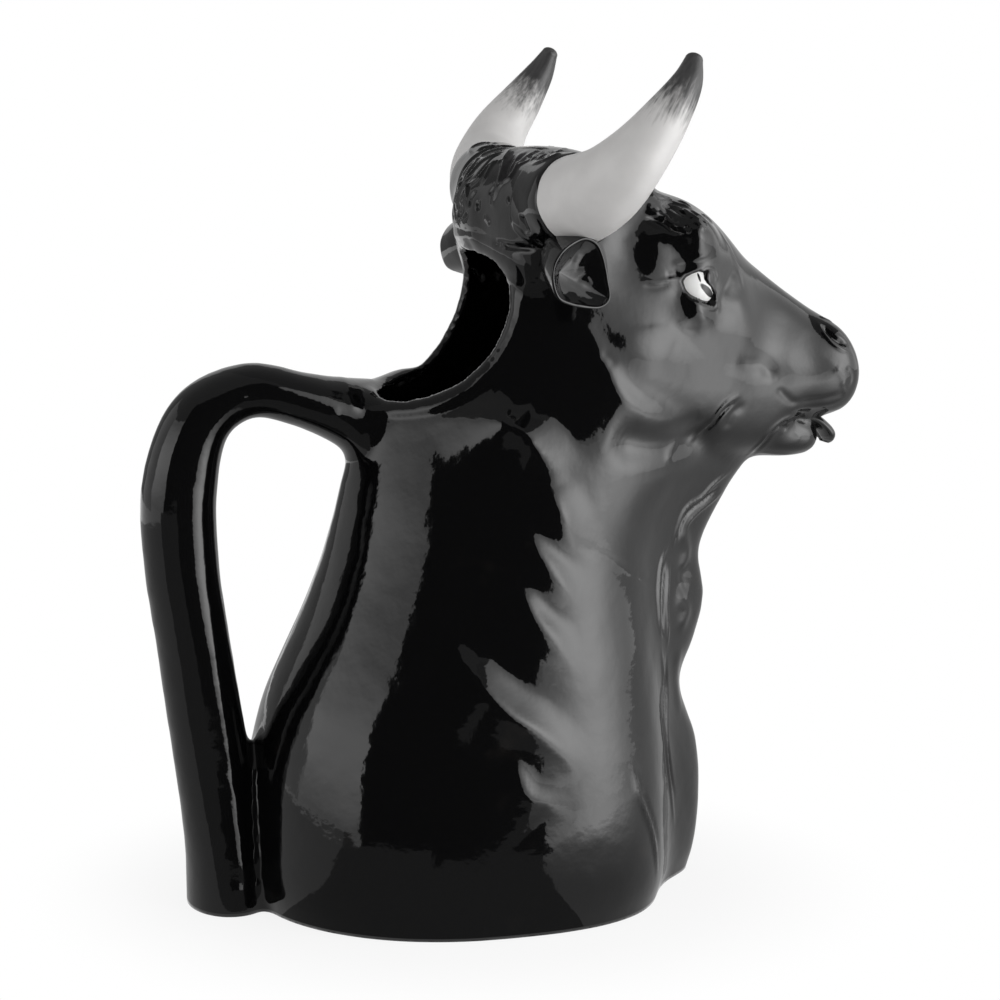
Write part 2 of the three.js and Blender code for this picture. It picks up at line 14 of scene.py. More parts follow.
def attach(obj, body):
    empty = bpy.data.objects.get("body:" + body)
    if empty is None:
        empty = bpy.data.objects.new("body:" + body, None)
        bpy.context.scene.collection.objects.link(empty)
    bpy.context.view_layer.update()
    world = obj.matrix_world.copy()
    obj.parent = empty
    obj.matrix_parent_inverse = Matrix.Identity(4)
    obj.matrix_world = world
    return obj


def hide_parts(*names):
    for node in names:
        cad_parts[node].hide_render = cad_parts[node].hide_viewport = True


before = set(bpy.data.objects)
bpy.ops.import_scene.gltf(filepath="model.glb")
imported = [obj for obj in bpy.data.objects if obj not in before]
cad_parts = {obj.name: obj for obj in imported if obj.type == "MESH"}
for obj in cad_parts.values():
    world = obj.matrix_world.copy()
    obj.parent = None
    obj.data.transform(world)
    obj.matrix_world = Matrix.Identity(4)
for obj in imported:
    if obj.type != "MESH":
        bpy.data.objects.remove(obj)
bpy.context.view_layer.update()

MM = 0.001

# Casting sizes
WALL = 4.5
FLOOR_THICKNESS = 6.5

# How finely the first forms are worked: the grain of the skin and of the hollow, the points round a
# section, and the step between sections or their count
GRAIN = 1.5
HOLLOW_GRAIN = 2.5
FACETS = {
    "vessel": {"around": 180, "step": 2},
    "vessel_inside": {"around": 96, "step": 3},
    "head": {"around": 144, "step": 1.5},
    "muzzle": {"step": 0.6},
    "head_inside": {"around": 72, "step": 2},
    "jaw": {"around": 48, "step": 0.5},
    "handle": {"around": 48, "count": 120},
    "tongue": {"around": 48, "count": 60},
    "horn": {"around": 64, "count": 80},
    "horn_socket": {"around": 48},
    "horn_tip": {"count": 10},
    "notch": {"long_arc": 60, "corner": 24},
    "ear": {"edge": 8, "outside": 34, "lip": 9, "inside": 30},
    "eye": {"around": 96},
}
# How far the vessel's form goes on below the foot, before it is cut flat
BELOW_FOOT = 8

# The vessel: level sections from the foot to the top of the neck, as height, back, front, half-width,
# place of the widest line, reach of the dewlap, and how square the front and the back are.
VESSEL_SECTIONS = np.array([
    (0, -69.5, 62, 66, -5, 18, 2.6, 2.1),
    (4, -71, 64, 67.2, -5, 18, 2.6, 2.1),
    (25, -71.5, 65, 67, -4, 20, 2.6, 2.1),
    (45, -70, 65, 64.5, -2, 18.5, 2.5, 2.05),
    (66, -65, 64, 60.5, 0, 13, 2.4, 2),
    (80, -59, 63, 58, 3, 19.5, 2.3, 1.95),
    (94, -52.5, 62, 55, 6, 24, 2.2, 1.9),
    (110, -46.5, 62, 51.5, 10, 22, 2.1, 1.8),
    (126, -42, 67, 48, 14, 24.5, 2, 1.7),
    (133, -40.4, 71.5, 46.5, 16, 24.3, 2, 1.65),
    (140, -38.8, 77, 45, 18, 23.5, 2, 1.6),
    (152, -35, 84, 42.5, 22, 10, 2, 1.55),
    (165, -30.5, 87, 40.5, 25, 0, 2, 1.5),
    (180, -21, 84, 39, 25, 0, 2, 1.5),
    (196, -9, 76, 37, 25, 0, 2, 1.6),
    (212, 1, 66, 33, 25, 0, 2, 1.8),
], float)
# The half-width of the dewlap's keel, and the share of its reach that the hollow follows
KEEL_HALF_WIDTH = 17
INSIDE_KEEL = 0.35

# The head: upright sections from the poll to the muzzle, as place, top, bottom, half-width, height of the
# widest line, and how square the upper half is.
HEAD_SECTIONS = np.array([
    (3, 230, 214, 11, 222.5, 2),
    (5, 233, 210.5, 18.5, 222, 2),
    (9, 237.5, 203, 29.5, 220, 2.1),
    (15, 240, 188, 36, 217.5, 2.2),
    (24, 241.5, 172, 37, 212, 2.2),
    (38, 240.5, 159, 37, 196, 2.4),
    (52, 235.5, 150, 35.5, 184, 2.7),
    (66, 230.5, 146, 33, 178, 2.9),
    (78, 226, 143, 30.5, 175, 3),
    (88, 218, 141.5, 27, 173, 2.7),
    (96, 209.2, 141.5, 23.5, 172, 2.4),
    (104, 202.8, 143, 21, 171, 2.2),
    (110, 198.2, 149, 20, 171, 2.2),
    (115, 194.6, 154.4, 19.5, 172, 2.2),
    (121, 190.4, 153.9, 19.5, 171, 2.3),
    (128, 185.8, 153.8, 19, 171, 2.5),
    (133, 181.6, 155.6, 16.5, 170, 2.5),
    (136, 177.5, 159.5, 13.5, 169, 2.2),
    (137.8, 174.5, 163, 8.5, 168.5, 2),
], float)
# How square its lower half is, where it turns into the muzzle, and where its hollow ends
CHEEK_SQUARENESS = 2.6
MUZZLE_FROM = 130
HEAD_HOLLOW_TO = 115.5
# Swellings and hollows of the head, on each side: the middle, the reach, and how far it stands out or in
HEAD_LOBES = [
    ((23, 33, 228), 13, 5),
    ((76, 28, 213), 9, 4.5),
    ((75, 31, 202), 8, -4.5),
    ((47, 36, 214), 12, -4),
    ((52, 34, 178), 17, 3.5),
    ((88, 25, 190), 8, 1.5),
    ((104, 20, 185), 9, -0.6),
    ((110, 19, 168), 9, 1.2),
    ((128, 12, 182), 6, 1.2),
]

# The notch that opens the neck behind the poll: the middle and radius of its long arc, its start at the
# lip, the radius of its upper corner, the angle where the one goes over into the other, and how far it
# cuts to each side. Then the pouring hole at the back of the mouth.
NOTCH = {
    "x": -28.5, "z": 202.7, "radius": 39, "lip": -38, "corner": 14, "angle": math.radians(-5), "side": 90,
}
MOUTH = {"at": (108, 0, 154), "half": (13, 8.5, 6.5)}

# The loop handle: place, half-width on Y, half-thickness, and how many degrees its left side is raised
HANDLE_PATH = [
    (8, 12, 151, 18, 15, 32),
    (-6, 13, 153.6, 21.5, 15.5, 32),
    (-20, 12, 154.2, 22, 14, 28),
    (-36, 5, 159.4, 17, 11.3, 12),
    (-52, 1, 164.5, 13, 9, 0),
    (-70, 0, 168.4, 12, 8.9, 0),
    (-85.3, 0, 160.4, 12.5, 10.5, 0),
    (-92.5, 0, 140, 13, 12.2, 0),
    (-92.7, 0, 115, 13, 12.2, 0),
    (-89.5, 0, 90, 13, 12, 0),
    (-86, 0, 65, 13, 12.3, 0),
    (-82.3, 0, 40, 14, 12.6, 0),
    (-80, 0, 18, 17, 12.6, 0),
    (-79.5, 0, -6, 20, 12.6, 0),
]
# How deep it is set into the vessel's wall, and the stretch round which its root is blended in
HANDLE_SET_IN = 1.5
HANDLE_JOIN = {"start": (-36, 0, 158), "end": (-24, 18, 158), "reach": 12}

# The left horn's path from inside the head to its tip, with its radius
HORN_PATH = [
    (23, 22, 229, 14),
    (24.5, 36, 229, 14.4),
    (26, 51, 231, 14),
    (29.7, 66, 236.5, 12.2),
    (36.3, 75.4, 246.5, 9.6),
    (45, 76.35, 258, 7.1),
    (51, 75.4, 267, 4.9),
    (54, 73.2, 273.8, 2.8),
]
# The share of the path that stays in the head; the collar of clay that holds the horn, and the share of
# the path at which it ends; and how far the tip is rounded, as a share of its radius
HORN_ROOT = 0.1
HORN_SOCKET = {"thickness": 0.5, "to": 0.28}
HORN_TIP = 0.7
# The horn's dark end: the place from which it is measured, seen from the path's end, how far it reaches,
# the half-width of its soft edge, and how far streaks and blots move that edge
HORN_DARK = {"from_end": (0.8, -0.5, 1.9), "length": 19, "fade": 8, "streaks": 16, "blots": 10}

# The hair on the poll: where it ends on the forehead, how far it reaches down the sides behind and before
# the horns in degrees from the top, and where it goes from the one to the other. bend is the radius that
# turns these degrees into a length, bevel the width of its sloping edge, tuck how deep that edge starts,
# and back the shares of the thickness at which its rounded back has its rings.
HAIR = {
    "thickness": 3.6,
    "front": 66,
    "spread_back": 135,
    "spread_front": 48,
    "narrows": (8, 34),
    "bend": 34,
    "bevel": 7,
    "tuck": 2,
    "back": (0.98, 0.9, 0.75, 0.5, 0.25),
}

# The left eyeball, the lid's thickness on it, how deep the opening between the lids is sunk, and how far
# above the ball the skin may lie that is sunk with it
EYE = {"at": (71.4, 23.8, 200.8), "radius": 8.8, "lid": 0.8, "depth": 1.3, "cover": 3}

# The ear: the edge of the left ear's cup from its top backwards, as x, y, z
EAR_EDGE = [
    (24.2, 59.5, 219.6), (18.8, 61.8, 218.2), (14.3, 63.3, 215), (11.8, 64, 210.4), (11.9, 63.9, 205.4),
    (13.8, 63.4, 201), (17.7, 62.4, 199), (23.2, 61, 197.8), (29.7, 59, 197.6), (33, 57, 199.8),
    (32.5, 56.5, 206.1), (31.2, 56.5, 212.6), (28.6, 57.5, 217.6),
]
# Its root in the head, how far it bellies out on the way to the edge, and the power that sets where most
EAR_ROOT = {"at": (27, 33, 214), "half": (8, 8), "belly": 2.2, "power": 0.8}
# The cup's lip, its depth, how flat its bottom is, how far the deepest place lies from the middle of the
# edge, and the share of the edge's size at which the bottom is closed
EAR_CUP = {"lip": 0.5, "depth": 3.2, "flat": 2.2, "deepest": (-6, 0, 1), "closed": 0.02}

# The lower jaw: place, top, bottom and half-width. The tongue's arch: place, half-width, half-thickness
# and how many degrees it is turned, with the groove along its middle.
JAW_SECTIONS = np.array([
    (92, 152, 142, 11),
    (104, 154.6, 140.4, 12.5),
    (114, 155.6, 139.6, 12.5),
    (120, 154, 140.2, 10.8),
    (124, 151.5, 142, 7.5),
    (125.5, 149, 145, 3.5),
], float)
TONGUE_PATH = [
    (104, 0, 149, 6, 2, 0),
    (111, 0, 152.6, 7.5, 2.2, 0),
    (117.5, 0, 153.5, 8.6, 2.3, 0),
    (122.5, 0, 152.8, 9, 2.3, 0),
    (126.2, 0, 150.4, 9, 2.3, 0),
    (128.9, 0, 147.2, 8.2, 2.5, 0),
    (129.3, 0, 145.2, 6, 2, 0),
    (129, 0, 143.9, 3, 1.2, 0),
]
TONGUE_GROOVE = {"half": 1.1, "depth": 0.9}

# The camera stands where the photograph was taken; a pixel below is one of the photograph's. It is turned
# from +Y to +X and tilted down, in degrees.
CAMERA_AT = np.array([-270.975, -962.682, 288.0])
CAMERA_TURN = 16.5
CAMERA_TILT = 9.0
FOCAL_PX = 3080
PHOTO_PX = 1000
SENSOR = 36.0
NEAREST_SEEN = 0.01

# Folds of skin on the neck, the jaw, the temple and the cheek: the pixels along the crest, the half-width
# on the left of its way and on the right, and the height
FOLDS = {
    "jaw_angle": ([(596, 296), (592, 334), (605, 370), (619, 398), (636, 413), (660, 420), (690, 414),
                   (720, 402)], 32, 24, 3.8),
    "temple": ([(668, 205), (686, 222), (696, 240), (695, 256), (682, 272)], 15, 26, 5.2),
    "temple_back": ([(640, 212), (652, 228), (657, 248), (653, 268), (640, 288)], 24, 16, 1.6),
    "cheek_bone": ([(681, 288), (688, 302), (697, 316), (700, 330), (694, 344)], 16, 12, 3.4),
    "nape": ([(490, 380), (497, 396), (506, 424), (523, 434), (536, 452), (549, 472), (566, 500)],
             14, 25, 5.8),
    "nape_low": ([(536, 464), (541, 476), (553, 500), (562, 521), (572, 544), (584, 564)], 12, 20, 3),
    "shoulder_top": ([(514, 505), (525, 525), (536, 550), (551, 571), (571, 601), (586, 626)], 9, 25, 2.6),
    "shoulder": ([(490, 562), (503, 578), (523, 597), (536, 620), (553, 641), (567, 664), (582, 690)],
                 9, 27, 2.8),
    "shoulder_low": ([(440, 626), (456, 646), (484, 691), (505, 712), (532, 730), (563, 757), (584, 790)],
                     12, 30, 5.4),
    "chest": ([(502, 730), (510, 748), (518, 775), (528, 796), (546, 804), (558, 830)], 9, 22, 2),
}
# The shares of its length in which a fold rises and falls off, how sharp its crest is, and how sharply two
# folds meet
FOLD = {"rise": 0.4, "fall": 0.55, "crest": 1.8}
FOLD_MEETING = 3
# A stroke shorter than this many half-widths keeps its full height to its round ends
ROUND_BELOW = 4.5
# How many half-widths a stroke without a crest reaches, and the least cosine between the way out of the
# skin that it works and its own
SOFT_REACH = 2.4
SAME_WAY = 0.15

# Lines on the throat and the dewlap, each with its pixels, half-width and height; a sunk line is below 0
DEWLAP_LINES = [
    ([(606, 432), (630, 442), (660, 446), (690, 440), (722, 424)], 6.5, -2.8),
    ([(572, 544), (590, 549), (620, 565), (655, 586)], 0.9, -0.35),
    ([(735, 468), (714, 483), (700, 498), (690, 504), (683, 512), (678, 525), (674, 540), (673, 553)],
     0.8, 0.7),
    ([(722, 484), (706, 499), (694, 508), (686, 517), (680, 530), (677, 546)], 0.8, -0.9),
    ([(726, 489), (709, 503), (697, 513), (689, 522), (684, 534)], 0.8, 0.5),
    ([(671, 543), (664, 553), (660, 566), (658, 592), (659, 616), (662, 642)], 0.9, 0.8),
    ([(665, 555), (664, 575), (663, 600), (663, 620), (664, 642)], 0.8, -1),
    ([(669, 556), (668, 580), (667, 606), (668, 630), (667, 652)], 0.8, 0.5),
    ([(661, 642), (663, 680), (662, 710), (665, 745), (668, 775), (672, 803), (675, 832)], 1, 0.8),
    ([(666, 650), (667, 690), (667, 730), (671, 770), (676, 806)], 0.9, -0.8),
    ([(631, 765), (640, 798), (650, 825), (655, 850), (658, 884)], 1, 0.8),
    ([(637, 768), (645, 798), (654, 824), (660, 850)], 1, -0.6),
    ([(684, 536), (686, 552), (684, 562)], 2.6, 0.7),
    ([(690, 562), (682, 576), (688, 592)], 2.2, -0.5),
    ([(681, 600), (686, 610), (683, 620)], 2.8, 0.7),
    ([(680, 640), (676, 680), (682, 720)], 3.2, 0.5),
    ([(745, 392), (725, 404), (712, 421), (698, 440), (688, 450)], 0.9, 0.6),
    ([(738, 400), (722, 414), (710, 430), (699, 441)], 0.7, -0.8),
    ([(686, 441), (676, 452), (668, 466)], 1.6, 0.4),
]

# The raised borders of the notch and of the horns' sockets: how far they reach from the cut or the horn,
# and how high they are; the shares of the reach between which they fall off; and where they may lie, for
# the notch's with two places on X between which it grows
NOTCH_BORDER = {"reach": 3.8, "height": 0.8}
SOCKET_BORDER = {"reach": 2.6, "height": 0.8}
BORDER_FALL = (0.6, 1.3)
NOTCH_BORDER_ROOM = {"grows": (-35, -29), "to": 16, "above": 155}
SOCKET_BORDER_ROOM = {"beside": 30, "above": 205, "to": 50}

# How the skin is evened out: the passes and their strength, and the distances from the notch's edge
# between which the strength grows, so that the edge stays crisp
EVENING = {"passes": 8, "least": 0.08, "more": 0.5, "from_edge": (0.2, 3)}
ROOT_EVENING = {"passes": 40, "strength": 0.6, "from_edge": (0.2, 2)}
TOUCHING_UP = {"passes": 2, "strength": 0.4}

# Skin that lies closer than this to the form of the hollow is the inside of the jug
INNER_SKIN = 1.4

# The boxes in which the outer skin is worked finer, and those in which it is worked finest, as it is too
# within a distance of the eye; each box has its least and its greatest x, y and z
FAR = 300
FINE_BOXES = {
    "head": ((-3, -FAR, 150), (FAR, FAR, FAR)),
    "jaw": ((88, -FAR, 134), (FAR, FAR, FAR)),
    "dewlap": ((48, -34, -FAR), (FAR, 34, FAR)),
    "notch": ((-40, -FAR, 158), (14, FAR, FAR)),
}
FINEST_BOXES = {
    "hair": ((-FAR, -44, 203), (32, 44, FAR)),
    "forelock": ((40, -FAR, 211), (82, FAR, FAR)),
    "mouth": ((94, -FAR, 137), (FAR, FAR, 166)),
    "nostrils": ((116, -24, 166), (FAR, 24, FAR)),
}
FINEST_AT_EYE = 17

# The unevenness that the caster's hand leaves: the size of its grains and their height
HAMMERED = ((9, 0.085), (4.2, 0.022))

# Locks of the hair
LOCKS = [
    ([(497, 149), (484, 155), (473, 166), (464, 180), (458, 193), (455, 206)], 0.88, 0.61),
    ([(510, 151), (498, 152), (488, 157), (480, 166), (472, 178), (468, 187), (466, 200), (464, 214)],
     0.88, 0.7),
    ([(512, 150), (507, 156), (503, 162)], 0.77, 0.53),
    ([(497, 160), (490, 168), (485, 177), (479, 185)], 0.99, 0.53),
    ([(521, 147), (512, 151), (505, 160), (502, 170), (499, 180), (491, 189)], 0.88, 0.7),
    ([(530, 148), (518, 158), (516, 168), (510, 178), (500, 185), (495, 195), (493, 203), (497, 210)],
     0.99, 0.79),
    ([(541, 149), (530, 155), (523, 160), (518, 168)], 0.88, 0.61),
    ([(546, 151), (538, 156), (529, 162)], 0.77, 0.53),
    ([(557, 150), (548, 156), (540, 161), (536, 164)], 0.77, 0.61),
    ([(566, 153), (552, 160), (542, 164), (530, 166)], 0.88, 0.7),
    ([(576, 148), (565, 149), (557, 153)], 0.88, 0.53),
    ([(473, 172), (466, 184), (460, 198), (457, 212)], 0.77, 0.53),
    ([(466, 190), (462, 201), (460, 213), (461, 224)], 0.88, 0.53),
    ([(455, 208), (457, 218), (459, 228)], 0.88, 0.53),
    ([(477, 190), (471, 197), (469, 209)], 0.77, -0.7),
    ([(461, 207), (459, 217)], 0.99, -0.79),
    ([(468, 213), (462, 221)], 0.77, -0.79),
    ([(478, 203), (478, 208)], 0.88, -0.61),
    ([(503, 153), (492, 158), (483, 168), (474, 181)], 0.66, -0.61),
    ([(515, 155), (508, 166), (505, 178), (497, 188)], 0.66, -0.61),
    ([(523, 156), (512, 168), (509, 177)], 0.66, -0.44),
    ([(537, 151), (526, 159)], 0.55, -0.53),
    ([(552, 151), (543, 158), (533, 163)], 0.55, -0.61),
    ([(562, 151), (550, 157)], 0.55, -0.53),
    ([(498, 181), (488, 196)], 0.77, -0.44),
    ([(507, 197), (510, 206)], 0.77, 0.44),
    ([(486, 218), (489, 222)], 0.77, 0.44),
    ([(524, 213), (526, 224), (531, 236)], 1.54, -0.88),
    ([(492, 243), (505, 246), (520, 248), (540, 249)], 0.99, -0.88),
    ([(499, 244), (507, 248)], 0.55, 0.61),
    # the forelock
    ([(655, 193), (664, 197), (674, 200)], 0.77, 0.53),
    ([(655, 201), (666, 201), (676, 204), (686, 207), (694, 213), (705, 220), (712, 226)], 0.88, 0.7),
    ([(668, 204), (680, 209), (690, 214), (699, 220), (708, 228)], 0.77, 0.61),
    ([(677, 200), (686, 204), (692, 209)], 0.77, 0.53),
    ([(643, 211), (655, 214), (665, 218), (672, 223), (680, 228), (688, 231)], 0.99, 0.7),
    ([(650, 207), (656, 212)], 0.88, 0.44),
    ([(662, 212), (667, 216)], 0.99, 0.53),
    ([(669, 211), (675, 215)], 0.77, 0.44),
    ([(684, 212), (690, 217)], 0.99, 0.53),
    ([(677, 215), (684, 220)], 0.77, 0.44),
    ([(676, 221), (687, 228)], 0.66, 0.61),
    ([(692, 219), (700, 225), (706, 231)], 0.88, 0.53),
    ([(700, 213), (708, 219), (713, 225)], 0.88, 0.53),
    ([(660, 205), (672, 208), (684, 215), (695, 223)], 0.66, -0.53),
    ([(672, 218), (681, 224), (690, 230)], 0.55, -0.53),
    ([(655, 209), (665, 213), (676, 219)], 0.66, -0.44),
    ([(697, 216), (706, 223)], 0.55, -0.44),
    ([(645, 217), (660, 221), (672, 230), (684, 236)], 0.99, -0.7),
]

# Lines of the brow, the lids and the temple
BROW_LINES = [
    ([(676, 278), (684, 274.5), (691, 271.5), (699, 268.5), (706, 268.5)], 0.78, 0.26),
    ([(665, 276), (673, 275), (680, 272)], 1.17, -0.26),
    ([(640, 280), (651, 282.5), (663, 281.5), (673, 279), (683, 278.5)], 0.91, 0.26),
    ([(642, 285), (653, 287), (664, 285), (672, 283)], 1.3, -0.25),
    ([(686, 292), (691, 299), (698, 304.5), (706, 308), (713, 308.5), (718, 304), (719.5, 296)], 1.04, 0.26),
    ([(715, 300), (718, 310)], 1.04, 0.19),
    ([(670, 263), (684, 261), (700, 257), (714, 252)], 1.0, 0.3),
    ([(676, 238), (684, 240), (692, 243)], 1.17, -0.26),
    ([(693, 237), (698, 237)], 2.08, 0.3),
    ([(716, 222), (722, 235), (729, 247), (734, 258), (741, 268)], 1.17, 0.22),
    ([(738, 266), (731, 275), (728, 284), (722, 291), (715, 289)], 1.69, -0.38),
    ([(737, 268), (740, 280), (741, 291)], 1.3, 0.22),
    ([(704, 283), (703, 275), (707, 269), (714, 270), (717, 277), (714, 285)], 0.78, -0.3),
    ([(709, 275), (709, 281)], 1.17, 0.41),
    ([(697, 312), (709, 318)], 2.86, 0.38),
    ([(722, 299), (735, 302), (746, 301)], 2.34, 0.19),
]

# Lines of the cheek, the nose and the lips
MUZZLE_LINES = [
    ([(735, 360), (748, 364), (762, 364), (770, 372), (775, 384)], 2.6, -0.65),
    ([(733, 384), (748, 390), (764, 390)], 5.2, 0.33),
    ([(746, 340), (765, 345), (785, 352)], 6.5, 0.28),
    ([(813, 316), (816, 332), (810, 350), (813, 364)], 5, -0.25),
    ([(776, 386), (785, 396), (793, 402), (802, 401)], 1.43, -0.44),
    ([(795, 402), (812, 400), (830, 397), (844, 391)], 1.3, -0.33),
    ([(785, 409), (802, 407), (822, 405), (840, 399), (850, 390)], 1.69, 0.28),
    ([(835, 366), (842, 376), (846, 386)], 1.56, 0.33),
    ([(843, 384), (845, 391)], 1.17, 0.33),
    ([(846, 366), (851, 376), (850, 386)], 1.04, -0.28),
    ([(822, 323), (829, 332), (838, 340), (847, 344), (853, 344)], 1.2, -1.3),
    ([(817, 319), (823, 331), (832, 342), (844, 350), (857, 353)], 0.9, 0.5),
    ([(818, 315), (830, 321), (842, 329), (852, 337)], 0.9, 0.3),
    ([(743, 460), (753, 450), (762, 441), (768, 433), (776, 425), (786, 418), (796, 414), (810, 412)],
     0.91, 0.39),
    ([(748, 460), (758, 450), (767, 441), (773, 433), (781, 425), (790, 419)], 0.91, -0.5),
    ([(784, 421), (793, 417), (802, 415)], 1.04, 0.33),
    ([(778, 427), (788, 428)], 1.04, -0.5),
    ([(786, 424), (798, 427), (810, 431), (818, 438)], 1.3, 0.12),
    ([(794, 419), (801, 419), (807, 421)], 1.04, -0.66),
    ([(728, 424), (734, 412), (740, 408)], 1.82, -0.5),
    ([(606, 356), (612, 362)], 1.56, -0.28),
    ([(757, 452), (780, 454), (803, 454)], 1.3, 0.22),
]

# The eye: its opening's edge, its pupil and the painted shadow by its glint, in pixels, with half-widths in
# mm.
# The opening's edge goes over from skin to ball between two distances inside the outline, in pixels, and
# a mark's edge is soft between two shares of its size, squared.
EYE_EDGE = (-1, 1.6)
EYE_OPENING = [
    (681.5, 281), (685.5, 275.8), (692, 272.8), (700, 270), (704, 272), (704.5, 279), (708, 283),
    (712.5, 287.5), (716, 294), (716.5, 301.5), (713.5, 307), (706, 306.5), (698, 303), (690, 297.5),
    (684.5, 290),
]
MARK_EDGE = (0.75, 1.2)
PUPIL = {"from": (700.5, 284), "to": (712, 297), "half": 1.15}
# A streak of painted shadow beside the eye's glint
GLINT_SHADOW = {"from": (697.5, 273), "to": (700.5, 282), "half": 0.42}

# The ear's inner folds
EAR_LINES = [
    ([(584, 246), (577, 252), (572, 260), (571, 268)], 0.77, -0.16),
    ([(580, 254), (575, 263)], 0.66, 0.1),
    ([(586, 251), (581, 259), (576, 267)], 0.66, -0.11),
    ([(579, 264), (576, 273)], 0.55, -0.07),
    ([(574, 283), (581, 277.5), (588, 274.5), (592, 279), (597, 287)], 0.66, -0.13),
    ([(583, 284), (590, 281)], 1.43, 0.11),
    ([(568, 277), (571, 284), (578, 289), (588, 295), (600, 301)], 0.88, 0.08),
    ([(602, 268), (606, 267)], 1.32, -0.13),
    ([(592, 268), (600, 265)], 1.54, 0.07),
    ([(584, 301), (592, 303), (600, 304)], 2.2, -0.17),
    ([(579, 302), (580, 306)], 0.77, 0.1),
    ([(583, 304), (585, 307)], 0.77, 0.08),
    ([(566, 246), (560, 254), (557, 264), (556, 278), (558, 291), (563, 300)], 0.88, -0.07),
    ([(604, 248), (608, 260), (610, 276), (611, 290)], 0.99, -0.07),
]


def through(table, at):
    """The columns of a table as smooth curves over its first column, read at many places."""
    places, values, at = table[:, 0], table[:, 1:], np.asarray(at, float)
    slopes = np.diff(values, axis=0) / np.diff(places)[:, None]
    slope = np.vstack([slopes[:1], (slopes[1:] + slopes[:-1]) / 2, slopes[-1:]])
    i = np.clip(np.searchsorted(places, at, side="right") - 1, 0, len(places) - 2)
    gap = (places[i + 1] - places[i])[:, None]
    t = (at - places[i])[:, None] / gap
    first = (1 + 2 * t) * (1 - t) ** 2 * values[i] + t * (1 - t) ** 2 * gap * slope[i]
    return first + t * t * (3 - 2 * t) * values[i + 1] + t * t * (t - 1) * gap * slope[i + 1]


def rounded(value, power):
    """A share of a rounded shape's reach: power 2 gives a circle, more a squarer shape."""
    return np.sign(value) * np.abs(value) ** (2 / power)


def smoothstep(value, low, high):
    t = np.clip((value - low) / (high - low), 0, 1)
    return t * t * (3 - 2 * t)


def steps(first, last, step):
    """Places at even steps from first to last, which is among them where the steps meet it."""
    return np.arange(first, last + 0.1, step)


def full_turn(around):
    """The angles of the points round a section."""
    return np.linspace(0, 2 * np.pi, around, endpoint=False)


def unit(vectors):
    return vectors / np.maximum(np.linalg.norm(vectors, axis=-1, keepdims=True), 1e-9)


def on_left(points):
    """Points with those on the right side mirrored to the left."""
    return np.stack([points[..., 0], np.abs(points[..., 1]), points[..., 2]], -1)


def nearness(points, start, end, reach):
    """How near points are to a stretch, from 1 on it to nothing well beyond reach; each side has it."""
    points = on_left(points)
    start, end = np.array(start, float), np.array(end, float)
    way = end - start
    t = np.clip((points - start) @ way / max(way @ way, 1e-9), 0, 1)
    away = np.linalg.norm(points - start - t[..., None] * way, axis=-1)
    return np.exp(-((away / reach) ** 2))


def vessel_rings(heights, around, inset=0.0, keel_share=1.0):
    """Level sections of the vessel, from the front of its left side round."""
    columns = through(VESSEL_SECTIONS, np.maximum(heights, 0))
    back, front, side, widest, keel, blunt, point = columns.T[:, :, None]
    turn = full_turn(around)[None]
    c, s = np.cos(turn), np.sin(turn)
    power = np.where(c > 0, blunt, point)
    y = side * rounded(s, power)
    dewlap = np.where(c > 0, keel * keel_share * np.exp(-((y / KEEL_HALF_WIDTH) ** 2)), 0)
    x = widest + np.where(c > 0, front - widest, widest - back) * rounded(c, power) + dewlap
    points = np.stack(np.broadcast_arrays(x, y, np.asarray(heights, float)[:, None]), -1)
    out = unit(np.stack(np.broadcast_arrays(x - widest, y, np.zeros_like(x)), -1))
    return points - out * inset


def head_rings(places, around, inset=0.0):
    """Upright sections of the head, from its top round."""
    top, bottom, side, middle, crown = through(HEAD_SECTIONS, places).T[:, :, None]
    turn = full_turn(around)[None]
    c, s = -np.sin(turn), np.cos(turn)
    power = np.where(s > 0, crown, CHEEK_SQUARENESS)
    y = side * rounded(c, power)
    z = middle + np.where(s > 0, top - middle, middle - bottom) * rounded(s, power)
    x = np.broadcast_to(np.asarray(places, float)[:, None], y.shape)
    points = np.stack([x, y, z], -1)
    push = sum(lobe[2] * nearness(points, lobe[0], lobe[0], lobe[1]) for lobe in HEAD_LOBES)
    out = unit(np.stack([np.zeros_like(x), y, z - middle], -1))
    return points + out * (push - inset)[..., None]


def hair_rings(places, around):
    """The hair's mass over the top, the back and the upper sides of the head, without its locks."""
    rings = head_rings(places, around)
    middle = through(HEAD_SECTIONS, places)[:, 3]
    centre = np.stack([places, 0 * middle, middle], -1)[:, None]
    degrees = np.degrees(full_turn(around))
    degrees = np.minimum(degrees, 360 - degrees)[None]
    along = np.asarray(places, float)[:, None]
    narrowed = smoothstep(along, *HAIR["narrows"])
    spread = HAIR["spread_back"] + (HAIR["spread_front"] - HAIR["spread_back"]) * narrowed
    from_edge = np.minimum(HAIR["front"] - along, np.radians(spread - degrees) * HAIR["bend"])
    cover = (HAIR["tuck"] + HAIR["thickness"]) * smoothstep(from_edge, 0, HAIR["bevel"]) - HAIR["tuck"]
    return rings + unit(rings - centre) * cover[..., None]


def hair_form():
    """The hair's mass with its rounded back."""
    first, facets = HEAD_SECTIONS[0, 0], FACETS["head"]
    front = hair_rings(steps(first, HAIR["front"], facets["step"]), facets["around"])
    centre = front[0].mean(0)
    back = []
    for share in HAIR["back"]:
        ring = centre + (front[0] - centre) * math.sqrt(1 - share**2)
        ring[:, 0] = first - share * HAIR["thickness"]
        back.append(ring)
    return outward(skinned(np.concatenate([np.array(back), front])))


